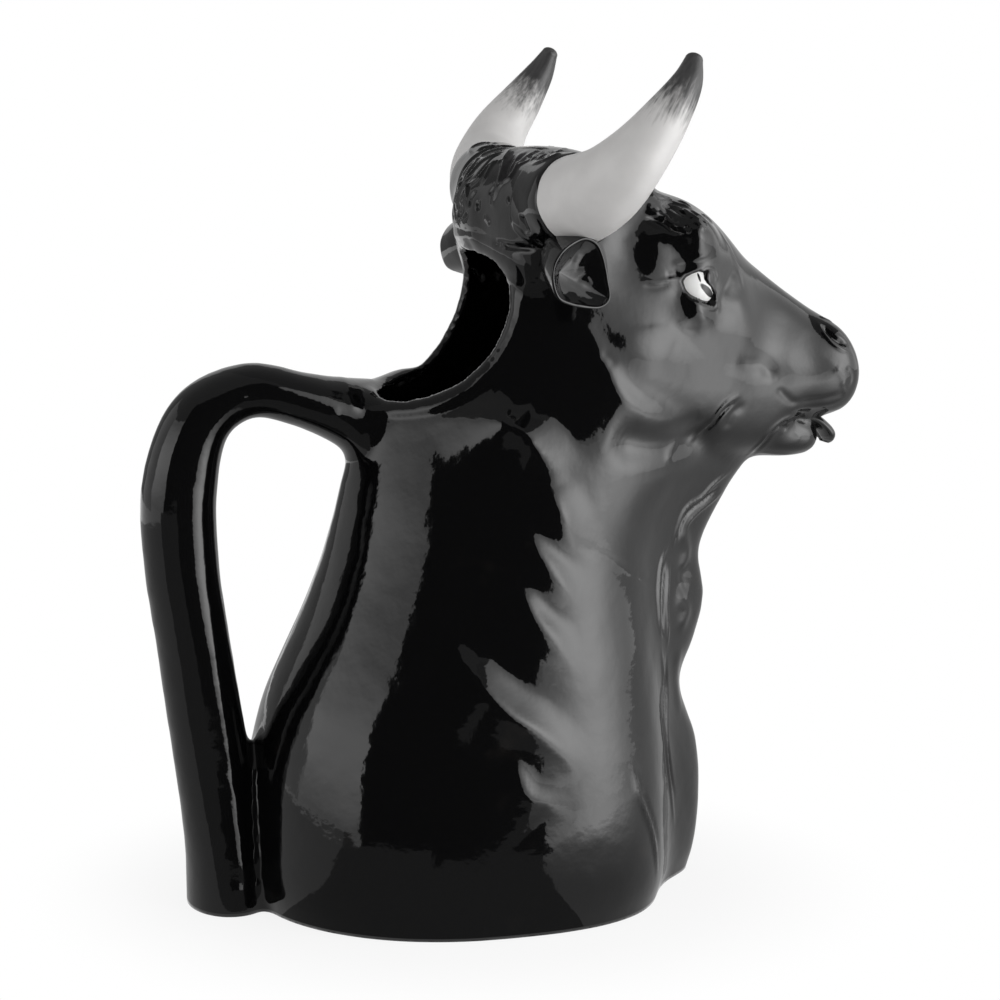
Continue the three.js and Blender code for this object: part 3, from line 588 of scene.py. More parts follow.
def jaw_rings(places, around):
    """Upright oval sections of the lower jaw."""
    top, bottom, side = through(JAW_SECTIONS, places).T[:, :, None]
    turn = full_turn(around)[None]
    x = np.broadcast_to(np.asarray(places, float)[:, None], (len(places), around))
    return np.stack([x, -side * np.sin(turn), (top + bottom) / 2 + (top - bottom) / 2 * np.cos(turn)], -1)


def along_path(path, count):
    """Places, sizes and directions at even steps along a smooth path through rows of x, y, z and sizes."""
    rows = np.array(path, float)
    rows = np.vstack([2 * rows[0] - rows[1], rows, 2 * rows[-1] - rows[-2]])
    u = np.linspace(0, len(path) - 1, count)
    i = np.minimum(u.astype(int), len(path) - 2)
    t = (u - i)[:, None]
    p0, p1, p2, p3 = (rows[i + k] for k in range(4))

    def gap(a, b):
        return np.sqrt(np.linalg.norm(a[:, :3] - b[:, :3], axis=1))[:, None]

    d0, d1, d2 = gap(p1, p0), gap(p2, p1), gap(p3, p2)
    m1 = ((p1 - p0) / d0 - (p2 - p0) / (d0 + d1) + (p2 - p1) / d1) * d1
    m2 = ((p2 - p1) / d1 - (p3 - p1) / (d1 + d2) + (p3 - p2) / d2) * d1
    m1[:, 3:], m2[:, 3:] = (p2 - p0)[:, 3:] / 2, (p3 - p1)[:, 3:] / 2
    curve = (2 * t**3 - 3 * t**2 + 1) * p1 + (t**3 - 2 * t**2 + t) * m1
    curve = curve + (3 * t**2 - 2 * t**3) * p2 + (t**3 - t**2) * m2
    return curve[:, :3], curve[:, 3:], unit(np.gradient(curve[:, :3], axis=0))


def tube_rings(path, around, count):
    """Oval rings along a path near the middle plane; the sizes are half-width, half-thickness and roll."""
    centre, size, way = along_path(path, count)
    side = np.tile([0.0, 1.0, 0.0], (count, 1))
    lift = unit(np.cross(side, way))
    axis = np.cross(side, lift)
    roll = np.radians(size[:, 2:3])
    turned = [v * np.cos(roll) + np.cross(axis, v) * np.sin(roll) for v in (side, lift)]
    turn = full_turn(around)[None, :, None]
    across = turned[0][:, None] * size[:, None, :1] * np.sin(turn)
    thick = turned[1][:, None] * size[:, None, 1:2] * np.cos(turn)
    return centre[:, None] + across + thick


def round_rings(centres, radii, way, around):
    """Round rings square to a direction given at each centre."""
    side = unit(np.cross(way, [1.0, 0.0, 0.0]))
    lift = np.cross(way, side)
    turn = full_turn(around)[None, :, None]
    ring = side[:, None] * np.cos(turn) + lift[:, None] * np.sin(turn)
    return centres[:, None] + ring * np.asarray(radii)[:, None, None]


def mesh_of(points, faces):
    mesh = bpy.data.meshes.new("form")
    mesh.from_pydata((np.asarray(points) * MM).tolist(), [], faces)
    return mesh


def skinned(rings):
    """A closed form skinned over rings of points; its ends are closed with flat fans."""
    count, around = rings.shape[:2]
    points = np.vstack([rings.reshape(-1, 3), rings[0].mean(0), rings[-1].mean(0)])
    faces = []
    for i in range(around):
        j = (i + 1) % around
        for low in range(0, (count - 1) * around, around):
            faces.append((low + i, low + j, low + around + j, low + around + i))
        top = (count - 1) * around
        faces.append((len(points) - 2, j, i))
        faces.append((len(points) - 1, top + i, top + j))
    return mesh_of(points, faces)


@contextmanager
def reworked(mesh):
    """A mesh's editable form, which goes back into the mesh after the work."""
    made = bmesh.new()
    made.from_mesh(mesh)
    yield made
    made.to_mesh(mesh)
    made.free()


def outward(mesh):
    """The same closed mesh with every face turned out."""
    with reworked(mesh) as made:
        bmesh.ops.recalc_face_normals(made, faces=made.faces)
    return mesh


def mirrored(mesh):
    """A copy of a mesh on the other side of the jug."""
    other = mesh.copy()
    points = points_of(other)
    points[:, 1] *= -1
    set_points(other, points)
    other.flip_normals()
    return other


def points_of(mesh):
    """A mesh's points in millimetres."""
    points = np.empty(len(mesh.vertices) * 3)
    mesh.vertices.foreach_get("co", points)
    return points.reshape(-1, 3) / MM


def set_points(mesh, points):
    mesh.vertices.foreach_set("co", (points * MM).ravel())
    mesh.update()


def joined(*meshes):
    """One mesh with all the parts of several."""
    made = bmesh.new()
    for mesh in meshes:
        made.from_mesh(mesh)
    whole = bpy.data.meshes.new("form")
    made.to_mesh(whole)
    made.free()
    return whole


def changed(mesh, kind, **settings):
    """A mesh after a modifier of some kind."""
    holder = bpy.data.objects.new("holder", mesh)
    bpy.context.scene.collection.objects.link(holder)
    modifier = holder.modifiers.new(kind, kind)
    for name, value in settings.items():
        setattr(modifier, name, value)
    seen = bpy.context.evaluated_depsgraph_get()
    made = bpy.data.meshes.new_from_object(holder.evaluated_get(seen))
    bpy.data.objects.remove(holder)
    return made


def remeshed(mesh, grain):
    """One skin round everything that a mesh holds."""
    return changed(mesh, "REMESH", mode="VOXEL", voxel_size=grain * MM, use_smooth_shade=True)


def cut(mesh, *cutters):
    """What cutters leave of a mesh."""
    for cutter in cutters:
        tool = bpy.data.objects.new("cutter", cutter)
        bpy.context.scene.collection.objects.link(tool)
        mesh = changed(mesh, "BOOLEAN", operation="DIFFERENCE", object=tool, solver="MANIFOLD")
        bpy.data.objects.remove(tool)
    return mesh


def edges_of(mesh):
    edges = np.empty(len(mesh.edges) * 2, int)
    mesh.edges.foreach_get("vertices", edges)
    return edges.reshape(-1, 2)


def smoothed(mesh, passes, strength):
    """Evens out a mesh; strength may be given for each point."""
    edges, points = edges_of(mesh), points_of(mesh)
    count = len(points)
    a, b = edges.T
    degree = np.bincount(a, minlength=count) + np.bincount(b, minlength=count)
    strength = np.broadcast_to(strength, count)[:, None]
    for _ in range(passes):
        columns = [np.bincount(a, c[b], count) + np.bincount(b, c[a], count) for c in points.T]
        points += (np.stack(columns, -1) / np.maximum(degree, 1)[:, None] - points) * strength
    set_points(mesh, points)
    return mesh


def notch_form():
    """The slot of the notch: it sweeps up from the lip in a long arc and turns back under the poll."""
    radius, corner, angle = NOTCH["radius"], NOTCH["corner"], NOTCH["angle"]
    lip = NOTCH["lip"] - NOTCH["x"]
    inward = radius - corner
    middle = np.array([inward * math.cos(angle), inward * math.sin(angle)])
    long_arc = np.linspace(-math.pi / 2, angle, FACETS["notch"]["long_arc"])
    short_arc = np.linspace(angle, math.pi / 2, FACETS["notch"]["corner"])[1:]
    outline = [(lip, -radius)]
    outline += [(radius * math.cos(t), radius * math.sin(t)) for t in long_arc]
    outline += [tuple(middle + corner * np.array([math.cos(t), math.sin(t)])) for t in short_arc]
    outline.append((lip, middle[1] + corner))
    outline = np.array(outline) + (NOTCH["x"], NOTCH["z"])
    count = len(outline)
    sides = [
        np.column_stack([outline[:, 0], np.full(count, y), outline[:, 1]])
        for y in (-NOTCH["side"], NOTCH["side"])
    ]
    faces = [(i, (i + 1) % count, count + (i + 1) % count, count + i) for i in range(count)]
    faces += [tuple(range(count))[::-1], tuple(range(count, 2 * count))]
    return outward(mesh_of(np.vstack(sides), faces))


def oval(at, half, around=48):
    """A ball with its own half-size on each axis."""
    made = bmesh.new()
    bmesh.ops.create_uvsphere(made, u_segments=around, v_segments=around // 2, radius=MM)
    mesh = bpy.data.meshes.new("oval")
    made.to_mesh(mesh)
    made.free()
    set_points(mesh, points_of(mesh) * np.array(half) + np.array(at))
    return mesh


def horn_rings(start, end, around, grown=0.0):
    """The left horn's rings between two shares of its path."""
    count = FACETS["horn"]["count"]
    centre, size, way = along_path(HORN_PATH, count)
    kept = slice(int(start * count), int(end * count))
    return round_rings(centre[kept], size[kept, 0] + grown, way[kept], around)


def horn_tool(grown=0.0, start=0.0, end=1.0):
    """The left horn without its rounded tip."""
    return outward(skinned(horn_rings(start, end, FACETS["horn_socket"]["around"], grown)))


def flat_foot(mesh):
    """Cuts the foot flat at height 0."""
    with reworked(mesh) as made:
        met = bmesh.ops.bisect_plane(
            made, geom=made.verts[:] + made.edges[:] + made.faces[:], dist=1e-6,
            plane_co=(0, 0, 0), plane_no=(0, 0, -1), clear_outer=True,
        )["geom_cut"]
        bmesh.ops.edgeloop_fill(made, edges=[e for e in met if isinstance(e, bmesh.types.BMEdge)])
    return mesh


def finer(mesh, inside):
    """Splits the faces whose points all lie inside."""
    with reworked(mesh) as made:
        edges = [e for e in made.edges if inside[e.verts[0].index] and inside[e.verts[1].index]]
        bmesh.ops.subdivide_edges(made, edges=edges, cuts=1, use_grid_fill=True, smooth=0.0)
    return mesh


def tree_of(mesh):
    """A mesh's surface, made ready to be met by sights and measured to."""
    form = bmesh.new()
    form.from_mesh(mesh)
    tree = BVHTree.FromBMesh(form)
    form.free()
    return tree


def gap_to(points, tree, reach):
    """How far points lie from a form's surface, up to a reach."""
    found = (tree.find_nearest(Vector(p), reach * MM)[3] for p in points * MM)
    return np.array([reach if gap is None else gap / MM for gap in found])


def on_hollow(points, hollow):
    """Whether points lie on the wall of the hollow."""
    return gap_to(points, hollow, INNER_SKIN) < INNER_SKIN


# Looking through the photograph's pixels
def sight():
    """The ways ahead, right and up from the camera."""
    turn, tilt = math.radians(CAMERA_TURN), math.radians(CAMERA_TILT)
    level = np.array([math.sin(turn), math.cos(turn), 0])
    right = np.array([math.cos(turn), -math.sin(turn), 0])
    ahead = level * math.cos(tilt) - np.array([0, 0, math.sin(tilt)])
    return ahead, right, np.cross(right, ahead)


def way_through(pixel):
    """The way of the sight through a pixel."""
    ahead, right, up = sight()
    x, y = np.array(pixel) - PHOTO_PX / 2
    return unit(ahead * FOCAL_PX + right * x - up * y)


def pixels_of(points):
    """The pixels on which points fall."""
    ahead, right, up = sight()
    away = points - CAMERA_AT
    across = np.stack([away @ right, -(away @ up)], -1)
    return PHOTO_PX / 2 + FOCAL_PX * across / (away @ ahead)[:, None]


def drawn(pixels):
    """A smooth line through a few pixels, a point for each pixel of its length."""
    rows = np.array(pixels, float)
    if len(rows) > 2:
        rows = along_path(np.pad(rows, ((0, 0), (0, 2))), 8 * len(rows))[0][:, :2]
    lengths = np.concatenate([[0], np.cumsum(np.linalg.norm(np.diff(rows, axis=0), axis=1))])
    even = np.linspace(0, lengths[-1], max(3, int(lengths[-1])))
    return np.column_stack([np.interp(even, lengths, column) for column in rows.T])


def inside_by(pixels, outline):
    """How far pixels lie inside an outline; below 0 they are outside."""
    start = np.array(outline, float)
    end = np.roll(start, -1, axis=0)
    way = end - start
    away = pixels[:, None] - start[None]
    t = np.clip((away * way).sum(-1) / (way * way).sum(-1), 0, 1)
    gap = np.linalg.norm(away - t[..., None] * way, axis=-1).min(1)
    x, y = pixels[:, 0, None], pixels[:, 1, None]
    crosses = (start[:, 1] > y) != (end[:, 1] > y)
    meets = start[:, 0] + (y - start[:, 1]) * way[:, 0] / np.where(way[:, 1] == 0, 1, way[:, 1])
    return np.where((crosses & (x < meets)).sum(1) % 2 == 1, gap, -gap)


class Skin:
    """A skin that is worked with strokes, which follow lines of the photograph. The jug is alike on both
    sides, so each stroke is made on the near side and, mirrored, on the far one."""

    def __init__(self, mesh):
        self.mesh = mesh
        self.points = points_of(mesh)
        out = np.empty(len(mesh.vertices) * 3)
        mesh.vertices.foreach_get("normal", out)
        self.out = out.reshape(-1, 3)
        self.relief = np.zeros(len(self.points))
        self.tree = tree_of(mesh)

    def met(self, pixels):
        """Where the sights through pixels meet the skin, and the ways out there."""
        hits = [self.tree.ray_cast(Vector(CAMERA_AT * MM), Vector(way_through(p))) for p in pixels]
        hits = [hit for hit in hits if hit[0] is not None]
        return np.array([hit[0] for hit in hits]) / MM, np.array([hit[1] for hit in hits])

    def stroke(self, pixels, width, height, rise=0.25, fall=0.3, crest=0):
        """The relief of one line. width is its half-width, or one for the left and one for the right of its
        way. rise and fall are the shares of its length in which it grows and ends, and crest makes it sharp
        on top."""
        line, out = self.met(drawn(pixels))
        made = np.zeros(len(self.points))
        if len(line) < 2:
            return made
        share = np.linspace(0, 1, len(line))
        widths = np.broadcast_to(width, 2)
        force = np.full(len(line), float(height))
        if np.linalg.norm(line[-1] - line[0]) > ROUND_BELOW * widths.max() or crest:
            force *= smoothstep(share, 0, rise) * smoothstep(1 - share, 0, fall)
        reach = widths.max() * (1 if crest else SOFT_REACH)
        for flip in (1, -1):
            side = np.array([1, flip, 1])
            path, facing = line * side, out * side
            close = ((self.points > path.min(0) - reach) & (self.points < path.max(0) + reach)).all(1)
            near = np.flatnonzero(close & (self.out @ unit(facing.mean(0)) > SAME_WAY))
            if not len(near):
                continue
            gap = self.points[near][:, None] - path[None]
            away = np.linalg.norm(gap, axis=2)
            nearest, row = away.argmin(1), np.arange(len(near))
            beside = np.cross(np.gradient(path, axis=0), facing)[nearest]
            to_right = flip * (gap[row, nearest] * beside).sum(1) > 0
            span = away[row, nearest] / np.where(to_right, widths[1], widths[0])
            shape = np.clip(1 - span, 0, 1) ** crest if crest else np.exp(-(span**2))
            made[near] = shape * force[nearest]
        return made

    def work(self, lines):
        """Adds the relief of many lines."""
        for pixels, width, height in lines:
            self.relief += self.stroke(pixels, width, height)

    def border(self, form, reach, height, room):
        """Raises a band along a form that cuts or meets the skin, by a share given for each point."""
        near = np.flatnonzero(room)
        full, none = (share * reach for share in BORDER_FALL)
        gap = gap_to(self.points[near], tree_of(form), none)
        self.relief[near] += height * room[near] * (1 - smoothstep(gap, full, none))

    def shaped(self):
        """Moves the skin by its relief."""
        self.points = self.points + self.out * self.relief[:, None]
        set_points(self.mesh, self.points)
        return self.mesh


def hammered(points):
    """How far the caster's hand has left each point out or in."""
    return sum(h * np.array([noise.noise(Vector(p / size)) for p in points]) for size, h in HAMMERED)


def ear_form():
    """The near ear: a cup that grows from its root in the head and turns over its lip into a hollow."""
    facets, count = FACETS["ear"], len(EAR_EDGE)
    closed = [row + (0,) for row in EAR_EDGE + EAR_EDGE[:3]]
    edge = along_path(closed, (count + 2) * facets["edge"] + 1)[0]
    edge = edge[facets["edge"]:(count + 1) * facets["edge"]] * (1, -1, 1)
    middle = edge.mean(0)
    turn = np.arctan2(edge[:, 2] - middle[2], edge[:, 0] - middle[0])
    half_x, half_z = EAR_ROOT["half"]
    around_root = np.stack([half_x * np.cos(turn), 0 * turn, half_z * np.sin(turn)], -1)
    ring = around_root + np.array(EAR_ROOT["at"]) * (1, -1, 1)
    away = unit((edge - middle) * (1, 0, 1))
    rings = []
    for t in np.linspace(0, 1, facets["outside"]):
        belly = EAR_ROOT["belly"] * math.sin(math.pi * t ** EAR_ROOT["power"])
        rings.append(ring + (edge - ring) * t + away * belly)
    lip = EAR_CUP["lip"]
    for a in np.linspace(0, math.pi, facets["lip"])[1:]:
        rings.append(edge - away * lip * (1 - math.cos(a)) + np.array([0, -lip * math.sin(a), 0]))
    inner = rings[-1]
    deepest = inner.mean(0) + np.array(EAR_CUP["deepest"])
    for s in np.linspace(1, EAR_CUP["closed"], facets["inside"])[1:]:
        hollow = deepest + (inner - deepest) * s
        hollow[:, 1] += EAR_CUP["depth"] * (1 - s ** EAR_CUP["flat"])
        rings.append(hollow)
    return skinned(np.array(rings))


def vessel_form(inset=0.0):
    facets = FACETS["vessel"]
    heights = steps(-BELOW_FOOT, VESSEL_SECTIONS[-1, 0], facets["step"])
    return outward(skinned(vessel_rings(heights, facets["around"], inset)))


def handle_form():
    """The loop handle, cut off where it is set into the vessel's wall."""
    return cut(outward(skinned(tube_rings(HANDLE_PATH, **FACETS["handle"]))), vessel_form(HANDLE_SET_IN))


def skull_form():
    facets, muzzle_end = FACETS["head"], HEAD_SECTIONS[-1, 0]
    behind = np.arange(HEAD_SECTIONS[0, 0], MUZZLE_FROM, facets["step"])
    muzzle = steps(MUZZLE_FROM, muzzle_end, FACETS["muzzle"]["step"])
    return outward(skinned(head_rings(np.concatenate([behind, muzzle]), facets["around"])))


def jaw_form():
    facets = FACETS["jaw"]
    places = steps(JAW_SECTIONS[0, 0], JAW_SECTIONS[-1, 0], facets["step"])
    return outward(skinned(jaw_rings(places, facets["around"])))


def hollow_form():
    """What is empty inside the vessel and the head."""
    vessel, head = FACETS["vessel_inside"], FACETS["head_inside"]
    heights = steps(FLOOR_THICKNESS, VESSEL_SECTIONS[-1, 0], vessel["step"])
    places = steps(HEAD_SECTIONS[0, 0] + WALL, HEAD_HOLLOW_TO, head["step"])
    in_vessel = outward(skinned(vessel_rings(heights, vessel["around"], WALL, INSIDE_KEEL)))
    in_head = outward(skinned(head_rings(places, head["around"], WALL)))
    return remeshed(joined(in_vessel, in_head), HOLLOW_GRAIN)


def vessel_and_head():
    """All the clay that one skin of glaze covers, with the notch, the hollow and the mouth cut out."""
    body, handle, skull = vessel_form(), handle_form(), skull_form()
    socket = horn_tool(HORN_SOCKET["thickness"], end=HORN_SOCKET["to"])
    lid = oval(EYE["at"], [EYE["radius"] + EYE["lid"]] * 3)
    forms = (body, skull, socket, mirrored(socket), jaw_form(), hair_form(), lid, mirrored(lid))
    whole = joined(cut(remeshed(joined(*forms), GRAIN), notch_form()), handle)
    return remeshed(cut(remeshed(whole, GRAIN), hollow_form(), oval(MOUTH["at"], MOUTH["half"])), GRAIN)


def raise_folds(skin):
    """Raises the folds; those that cross run together instead of adding up."""
    reliefs = (skin.stroke(pixels, sides, height, **FOLD) for pixels, *sides, height in FOLDS.values())
    skin.relief += sum(relief**FOLD_MEETING for relief in reliefs) ** (1 / FOLD_MEETING)


def open_eyes(skin):
    """Sinks the lids' skin under the eyeball inside the opening between the lids."""
    centre, radius = np.array(EYE["at"]) * (1, -1, 1), EYE["radius"]
    near_side = on_left(skin.points) * (1, -1, 1)
    away = near_side - centre
    reach = np.linalg.norm(away, axis=1)
    ball = np.flatnonzero((reach < radius + EYE["cover"]) & (away[:, 1] < 0))
    share = smoothstep(inside_by(pixels_of(near_side[ball]), EYE_OPENING), *EYE_EDGE)
    wanted = np.minimum(reach[ball], radius - EYE["depth"])
    moved = (reach[ball] + (wanted - reach[ball]) * share) / reach[ball]
    placed = centre + away[ball] * moved[:, None]
    placed[:, 1] = np.abs(placed[:, 1]) * np.sign(skin.points[ball, 1])
    skin.points[ball] = placed
    set_points(skin.mesh, skin.points)


def in_boxes(points, boxes):
    """Whether points lie in one box at least."""
    return np.any([((points > least) & (points < most)).all(1) for least, most in boxes.values()], axis=0)


def zones(points, hollow):
    """The parts of the outer skin that are worked finer, and those that are worked finest."""
    fine = in_boxes(points, FINE_BOXES) & ~on_hollow(points, hollow)
    at_eye = np.linalg.norm(on_left(points) - EYE["at"], axis=1) < FINEST_AT_EYE
    return fine, fine & (in_boxes(points, FINEST_BOXES) | at_eye)


def evened(mesh):
    """Evens out the grain of the clay, and most of all where the handle's root is blended in."""
    points = points_of(mesh)
    edge = gap_to(points, tree_of(notch_form()), EVENING["from_edge"][1])
    strength = EVENING["least"] + EVENING["more"] * smoothstep(edge, *EVENING["from_edge"])
    smoothed(mesh, EVENING["passes"], strength)
    at_root = nearness(points, **HANDLE_JOIN) * smoothstep(edge, *ROOT_EVENING["from_edge"])
    return smoothed(mesh, ROOT_EVENING["passes"], ROOT_EVENING["strength"] * at_root)


def raise_borders(skin, hollow):
    """The raised edge of the notch, and the collars round the horns."""
    x, y, z = skin.points.T
    outer = ~on_hollow(skin.points, hollow)
    room = NOTCH_BORDER_ROOM
    at_neck = outer & (x < room["to"]) & (z > room["above"])
    skin.border(notch_form(), **NOTCH_BORDER, room=at_neck * smoothstep(x, *room["grows"]))
    room = SOCKET_BORDER_ROOM
    at_horns = outer & (np.abs(y) > room["beside"]) & (z > room["above"]) & (x < room["to"])
    horn = horn_tool(start=HORN_ROOT)
    skin.border(joined(horn, mirrored(horn)), **SOCKET_BORDER, room=at_horns)


def jug_skin():
    """The jug's one skin: its large forms, its folds, and then the fine lines on skin worked finer."""
    skin = Skin(evened(vessel_and_head()))
    raise_folds(skin)
    passes, strength = TOUCHING_UP["passes"], TOUCHING_UP["strength"]
    mesh = smoothed(skin.shaped(), passes, strength)
    hollow = tree_of(hollow_form())
    for level in (0, 1):
        mesh = finer(mesh, zones(points_of(mesh), hollow)[level])
        smoothed(mesh, passes, strength * zones(points_of(mesh), hollow)[level])
    skin = Skin(mesh)
    skin.work(DEWLAP_LINES + LOCKS + BROW_LINES + MUZZLE_LINES)
    raise_borders(skin, hollow)
    skin.relief += hammered(skin.points)
    skin.shaped()
    open_eyes(skin)
    return flat_foot(mesh)


def rounded_horn():
    """The left horn with its tip rounded off."""
    around, count = FACETS["horn"]["around"], FACETS["horn"]["count"]
    end, radius, way = (column[-1] for column in along_path(HORN_PATH, count))
    angles = np.linspace(0, math.pi / 2, FACETS["horn_tip"]["count"])[1:-1]
    ends = end + way * np.sin(angles)[:, None] * radius * HORN_TIP
    tip = round_rings(ends, radius * np.cos(angles), np.tile(way, (len(ends), 1)), around)
    return outward(skinned(np.concatenate([horn_rings(HORN_ROOT, 1, around), tip])))


def tongue_form():
    """The tongue with the groove along its middle."""
    rings = tube_rings(TONGUE_PATH, **FACETS["tongue"])
    sunk = np.exp(-((rings[..., 1] / TONGUE_GROOVE["half"]) ** 2)) * TONGUE_GROOVE["depth"]
    out = unit(rings - rings.mean(1, keepdims=True))
    return outward(skinned(rings - out * sunk[..., None]))


def near_ear():
    """The right ear with its inner folds."""
    skin = Skin(outward(ear_form()))
    skin.work(EAR_LINES)
    skin.relief += hammered(skin.points)
    return skin.shaped()


def piece(name, mesh, material, slot, *nodes):
    """A piece of the jug in its finish, which is seen in place of some nodes."""
    made = bpy.data.objects.new(name, mesh)
    bpy.context.scene.collection.objects.link(made)
    mesh.materials.clear()
    mesh.materials.append(material)
    mesh.polygons.foreach_set("use_smooth", [True] * len(mesh.polygons))
    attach(made, "root")
    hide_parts(*nodes)


# Finishes
GLASS_IOR = 1.5
# Each glaze and slip goes over from its first colour to its second
BLACK = (0.0022, 0.0022, 0.0024, 1), (0.006, 0.0052, 0.0048, 1)
IVORY = (0.54, 0.53, 0.525, 1), (0.67, 0.66, 0.65, 1)
GREY_SLIP = (0.02, 0.02, 0.021, 1), (0.075, 0.074, 0.074, 1)
WHITE = (0.82, 0.82, 0.81, 1), (0.9, 0.9, 0.89, 1)
# The pupil's black, which also paints the shadow streak beside the eye's glint
PUPIL_AND_SHADOW_BLACK = (0.006, 0.006, 0.007, 1)


def operator(operation, reflected=False):
    """An operator between a wire and a value, which adds a Math node."""

    def worked(wire, other):
        pair = (other, wire) if reflected else (wire, other)
        return wire.shop.math(operation, *pair)

    return worked


class Wire:
    """A socket that Python's operators work on."""

    def __init__(self, shop, socket):
        self.shop, self.socket = shop, socket

    __add__, __radd__ = operator("ADD"), operator("ADD", True)
    __sub__, __rsub__ = operator("SUBTRACT"), operator("SUBTRACT", True)
    __mul__, __rmul__ = operator("MULTIPLY"), operator("MULTIPLY", True)
    __truediv__, __rtruediv__ = operator("DIVIDE"), operator("DIVIDE", True)
    __pow__, __rpow__ = operator("POWER"), operator("POWER", True)

    def __neg__(self):
        return self * -1


class Shop:
    """Where a material's nodes are made."""

    def __init__(self, tree):
        self.tree = tree

    def node(self, kind, settings=None, inputs=None, output=0):
        """One output of a new node, with its settings and the values or wires of its sockets."""
        made = self.tree.nodes.new(kind)
        for name, value in (settings or {}).items():
            setattr(made, name, value)
        for name, value in (inputs or {}).items():
            self.feed(made.inputs[name], value)
        return Wire(self, made.outputs[output]) if made.outputs else None

    def feed(self, socket, value):
        if isinstance(value, Wire):
            self.tree.links.new(value.socket, socket)
        else:
            socket.default_value = value

    def math(self, operation, *values):
        return self.node("ShaderNodeMath", {"operation": operation}, dict(enumerate(values)))

    def vector(self, operation, *values, output=0):
        return self.node("ShaderNodeVectorMath", {"operation": operation}, dict(enumerate(values)), output)

    def dot(self, vector, way):
        return self.vector("DOT_PRODUCT", vector, tuple(way), output="Value")

    def place(self):
        """The place on the surface in millimetres, alike on both sides of the jug."""
        at = self.node("ShaderNodeTexCoord", output="Object")
        beside = self.vector("ABSOLUTE", self.vector("MULTIPLY", at, (0, 1 / MM, 0)))
        return self.vector("ADD", beside, self.vector("MULTIPLY", at, (1 / MM, 0, 1 / MM)))

    def noise(self, vector, size, detail=2.0):
        """Noise from 0 to 1 with grains of a size in the vector's units."""
        return self.node("ShaderNodeTexNoise", None, {"Vector": vector, "Scale": 1 / size, "Detail": detail})

    def ramp(self, value, low, high, before=0.0, beyond=1.0):
        """The value before below low, and beyond above high, with a soft change between."""
        values = {"Value": value, "From Min": low, "From Max": high, "To Min": before, "To Max": beyond}
        return self.node("ShaderNodeMapRange", {"interpolation_type": "SMOOTHSTEP"}, values)

    def bump(self, height):
        """The way out of a surface that noise raises and sinks by a height in mm."""
        values = {"Strength": 1.0, "Distance": MM, "Height": height}
        return self.node("ShaderNodeBump", None, values)

    def blend(self, share, first, second):
        """A colour that goes from the first to the second."""
        factor, colour_a, colour_b = 0, 6, 7
        values = {factor: share, colour_a: first, colour_b: second}
        return self.node("ShaderNodeMix", {"data_type": "RGBA"}, values, output=2)

    def glazed(self, **inputs):
        """Ends a glaze's nodes; the inputs are the shader's sockets, with _ for a blank."""
        named = {name.replace("_", " "): value for name, value in inputs.items()}
        shader = self.node("ShaderNodeBsdfPrincipled", None, {"IOR": GLASS_IOR, **named})
        self.node("ShaderNodeOutputMaterial", None, {"Surface": shader})


def emptied(owner):
    owner.use_nodes = True
    owner.node_tree.nodes.clear()
    return Shop(owner.node_tree)


def finish(name):
    material = bpy.data.materials.new(name)
    return material, emptied(material)


def black_glaze():
    """Thick black glaze over a hammered casting: soft dimples, a fine orange peel and thin brown places."""
    material, shop = finish("black_glaze")
    place = shop.place()
    dimples, orange_peel = shop.noise(place, 5.5, detail=2.5), shop.noise(place, 1.1)
    thin = shop.ramp(shop.noise(place, 14, detail=4), 0.62, 0.8)
    shop.glazed(
        Base_Color=shop.blend(thin, *BLACK),
        Roughness=0.035 + 0.05 * shop.noise(place, 7, detail=3),
        Normal=shop.bump(dimples * 0.09 + orange_peel * 0.006),
    )
    return material


def ivory_glaze():
    """Satin ivory glaze, brushed over at the horn's tip with streaks of dark grey slip."""
    material, shop = finish("ivory_glaze")
    place = shop.place()
    rows = np.array(HORN_PATH)[:, :3]
    tip, way = rows[-1] + HORN_DARK["from_end"], unit(rows[-1] - rows[-3])
    side = unit(np.cross(way, [1.0, 0, 0]))
    away = shop.vector("SUBTRACT", place, tuple(tip))
    back = -shop.dot(away, way)
    drawn_out = {0: shop.dot(away, side), 1: shop.dot(away, np.cross(way, side)), 2: back * 0.1}
    streaks = shop.noise(shop.node("ShaderNodeCombineXYZ", None, drawn_out), 0.9, detail=3)
    blots, shade = shop.noise(place, 5, detail=3), shop.noise(place, 9, detail=3)
    uneven = (streaks - 0.5) * HORN_DARK["streaks"] + (blots - 0.5) * HORN_DARK["blots"]
    length, fade = HORN_DARK["length"], HORN_DARK["fade"]
    dark = 1 - shop.ramp(back + uneven, length - fade, length + fade)
    shop.glazed(
        Base_Color=shop.blend(dark, shop.blend(shade, *IVORY), shop.blend(streaks, *GREY_SLIP)),
        Roughness=0.42 - 0.08 * shade,
        Normal=shop.bump(shop.noise(place, 4) * 0.05),
    )
    return material


def painted_mark(shop, place, mark, ball):
    """1 inside an oval mark painted on the eyeball from one pixel's sight to another's."""
    start, end = (np.array(ball.met([mark[k]])[0][0]) * (1, -1, 1) for k in ("from", "to"))
    at, way = (start + end) / 2, unit(end - start)
    out = unit(at - np.array(EYE["at"]))
    side = np.cross(out, way)
    away = shop.vector("SUBTRACT", place, tuple(at))
    long = shop.dot(away, way) / float(np.linalg.norm(end - start) / 2)
    wide = shop.dot(away, side) / mark["half"]
    return 1 - shop.ramp(long * long + wide * wide, *MARK_EDGE)


def eye_glaze(ball):
    """White glaze with the pupil painted on, and beside the glint a streak of painted shadow."""
    material, shop = finish("eye_glaze")
    place = shop.place()
    # The pupil, and the painted shadow streak beside the glint
    dark = shop.math("MAXIMUM", *(painted_mark(shop, place, mark, ball) for mark in (PUPIL, GLINT_SHADOW)))
    white = shop.blend(shop.noise(place, 2.5), *WHITE)
    shop.glazed(
        Base_Color=shop.blend(dark, white, PUPIL_AND_SHADOW_BLACK),
        Roughness=0.08 + 0.05 * shop.noise(place, 3),
    )
    return material


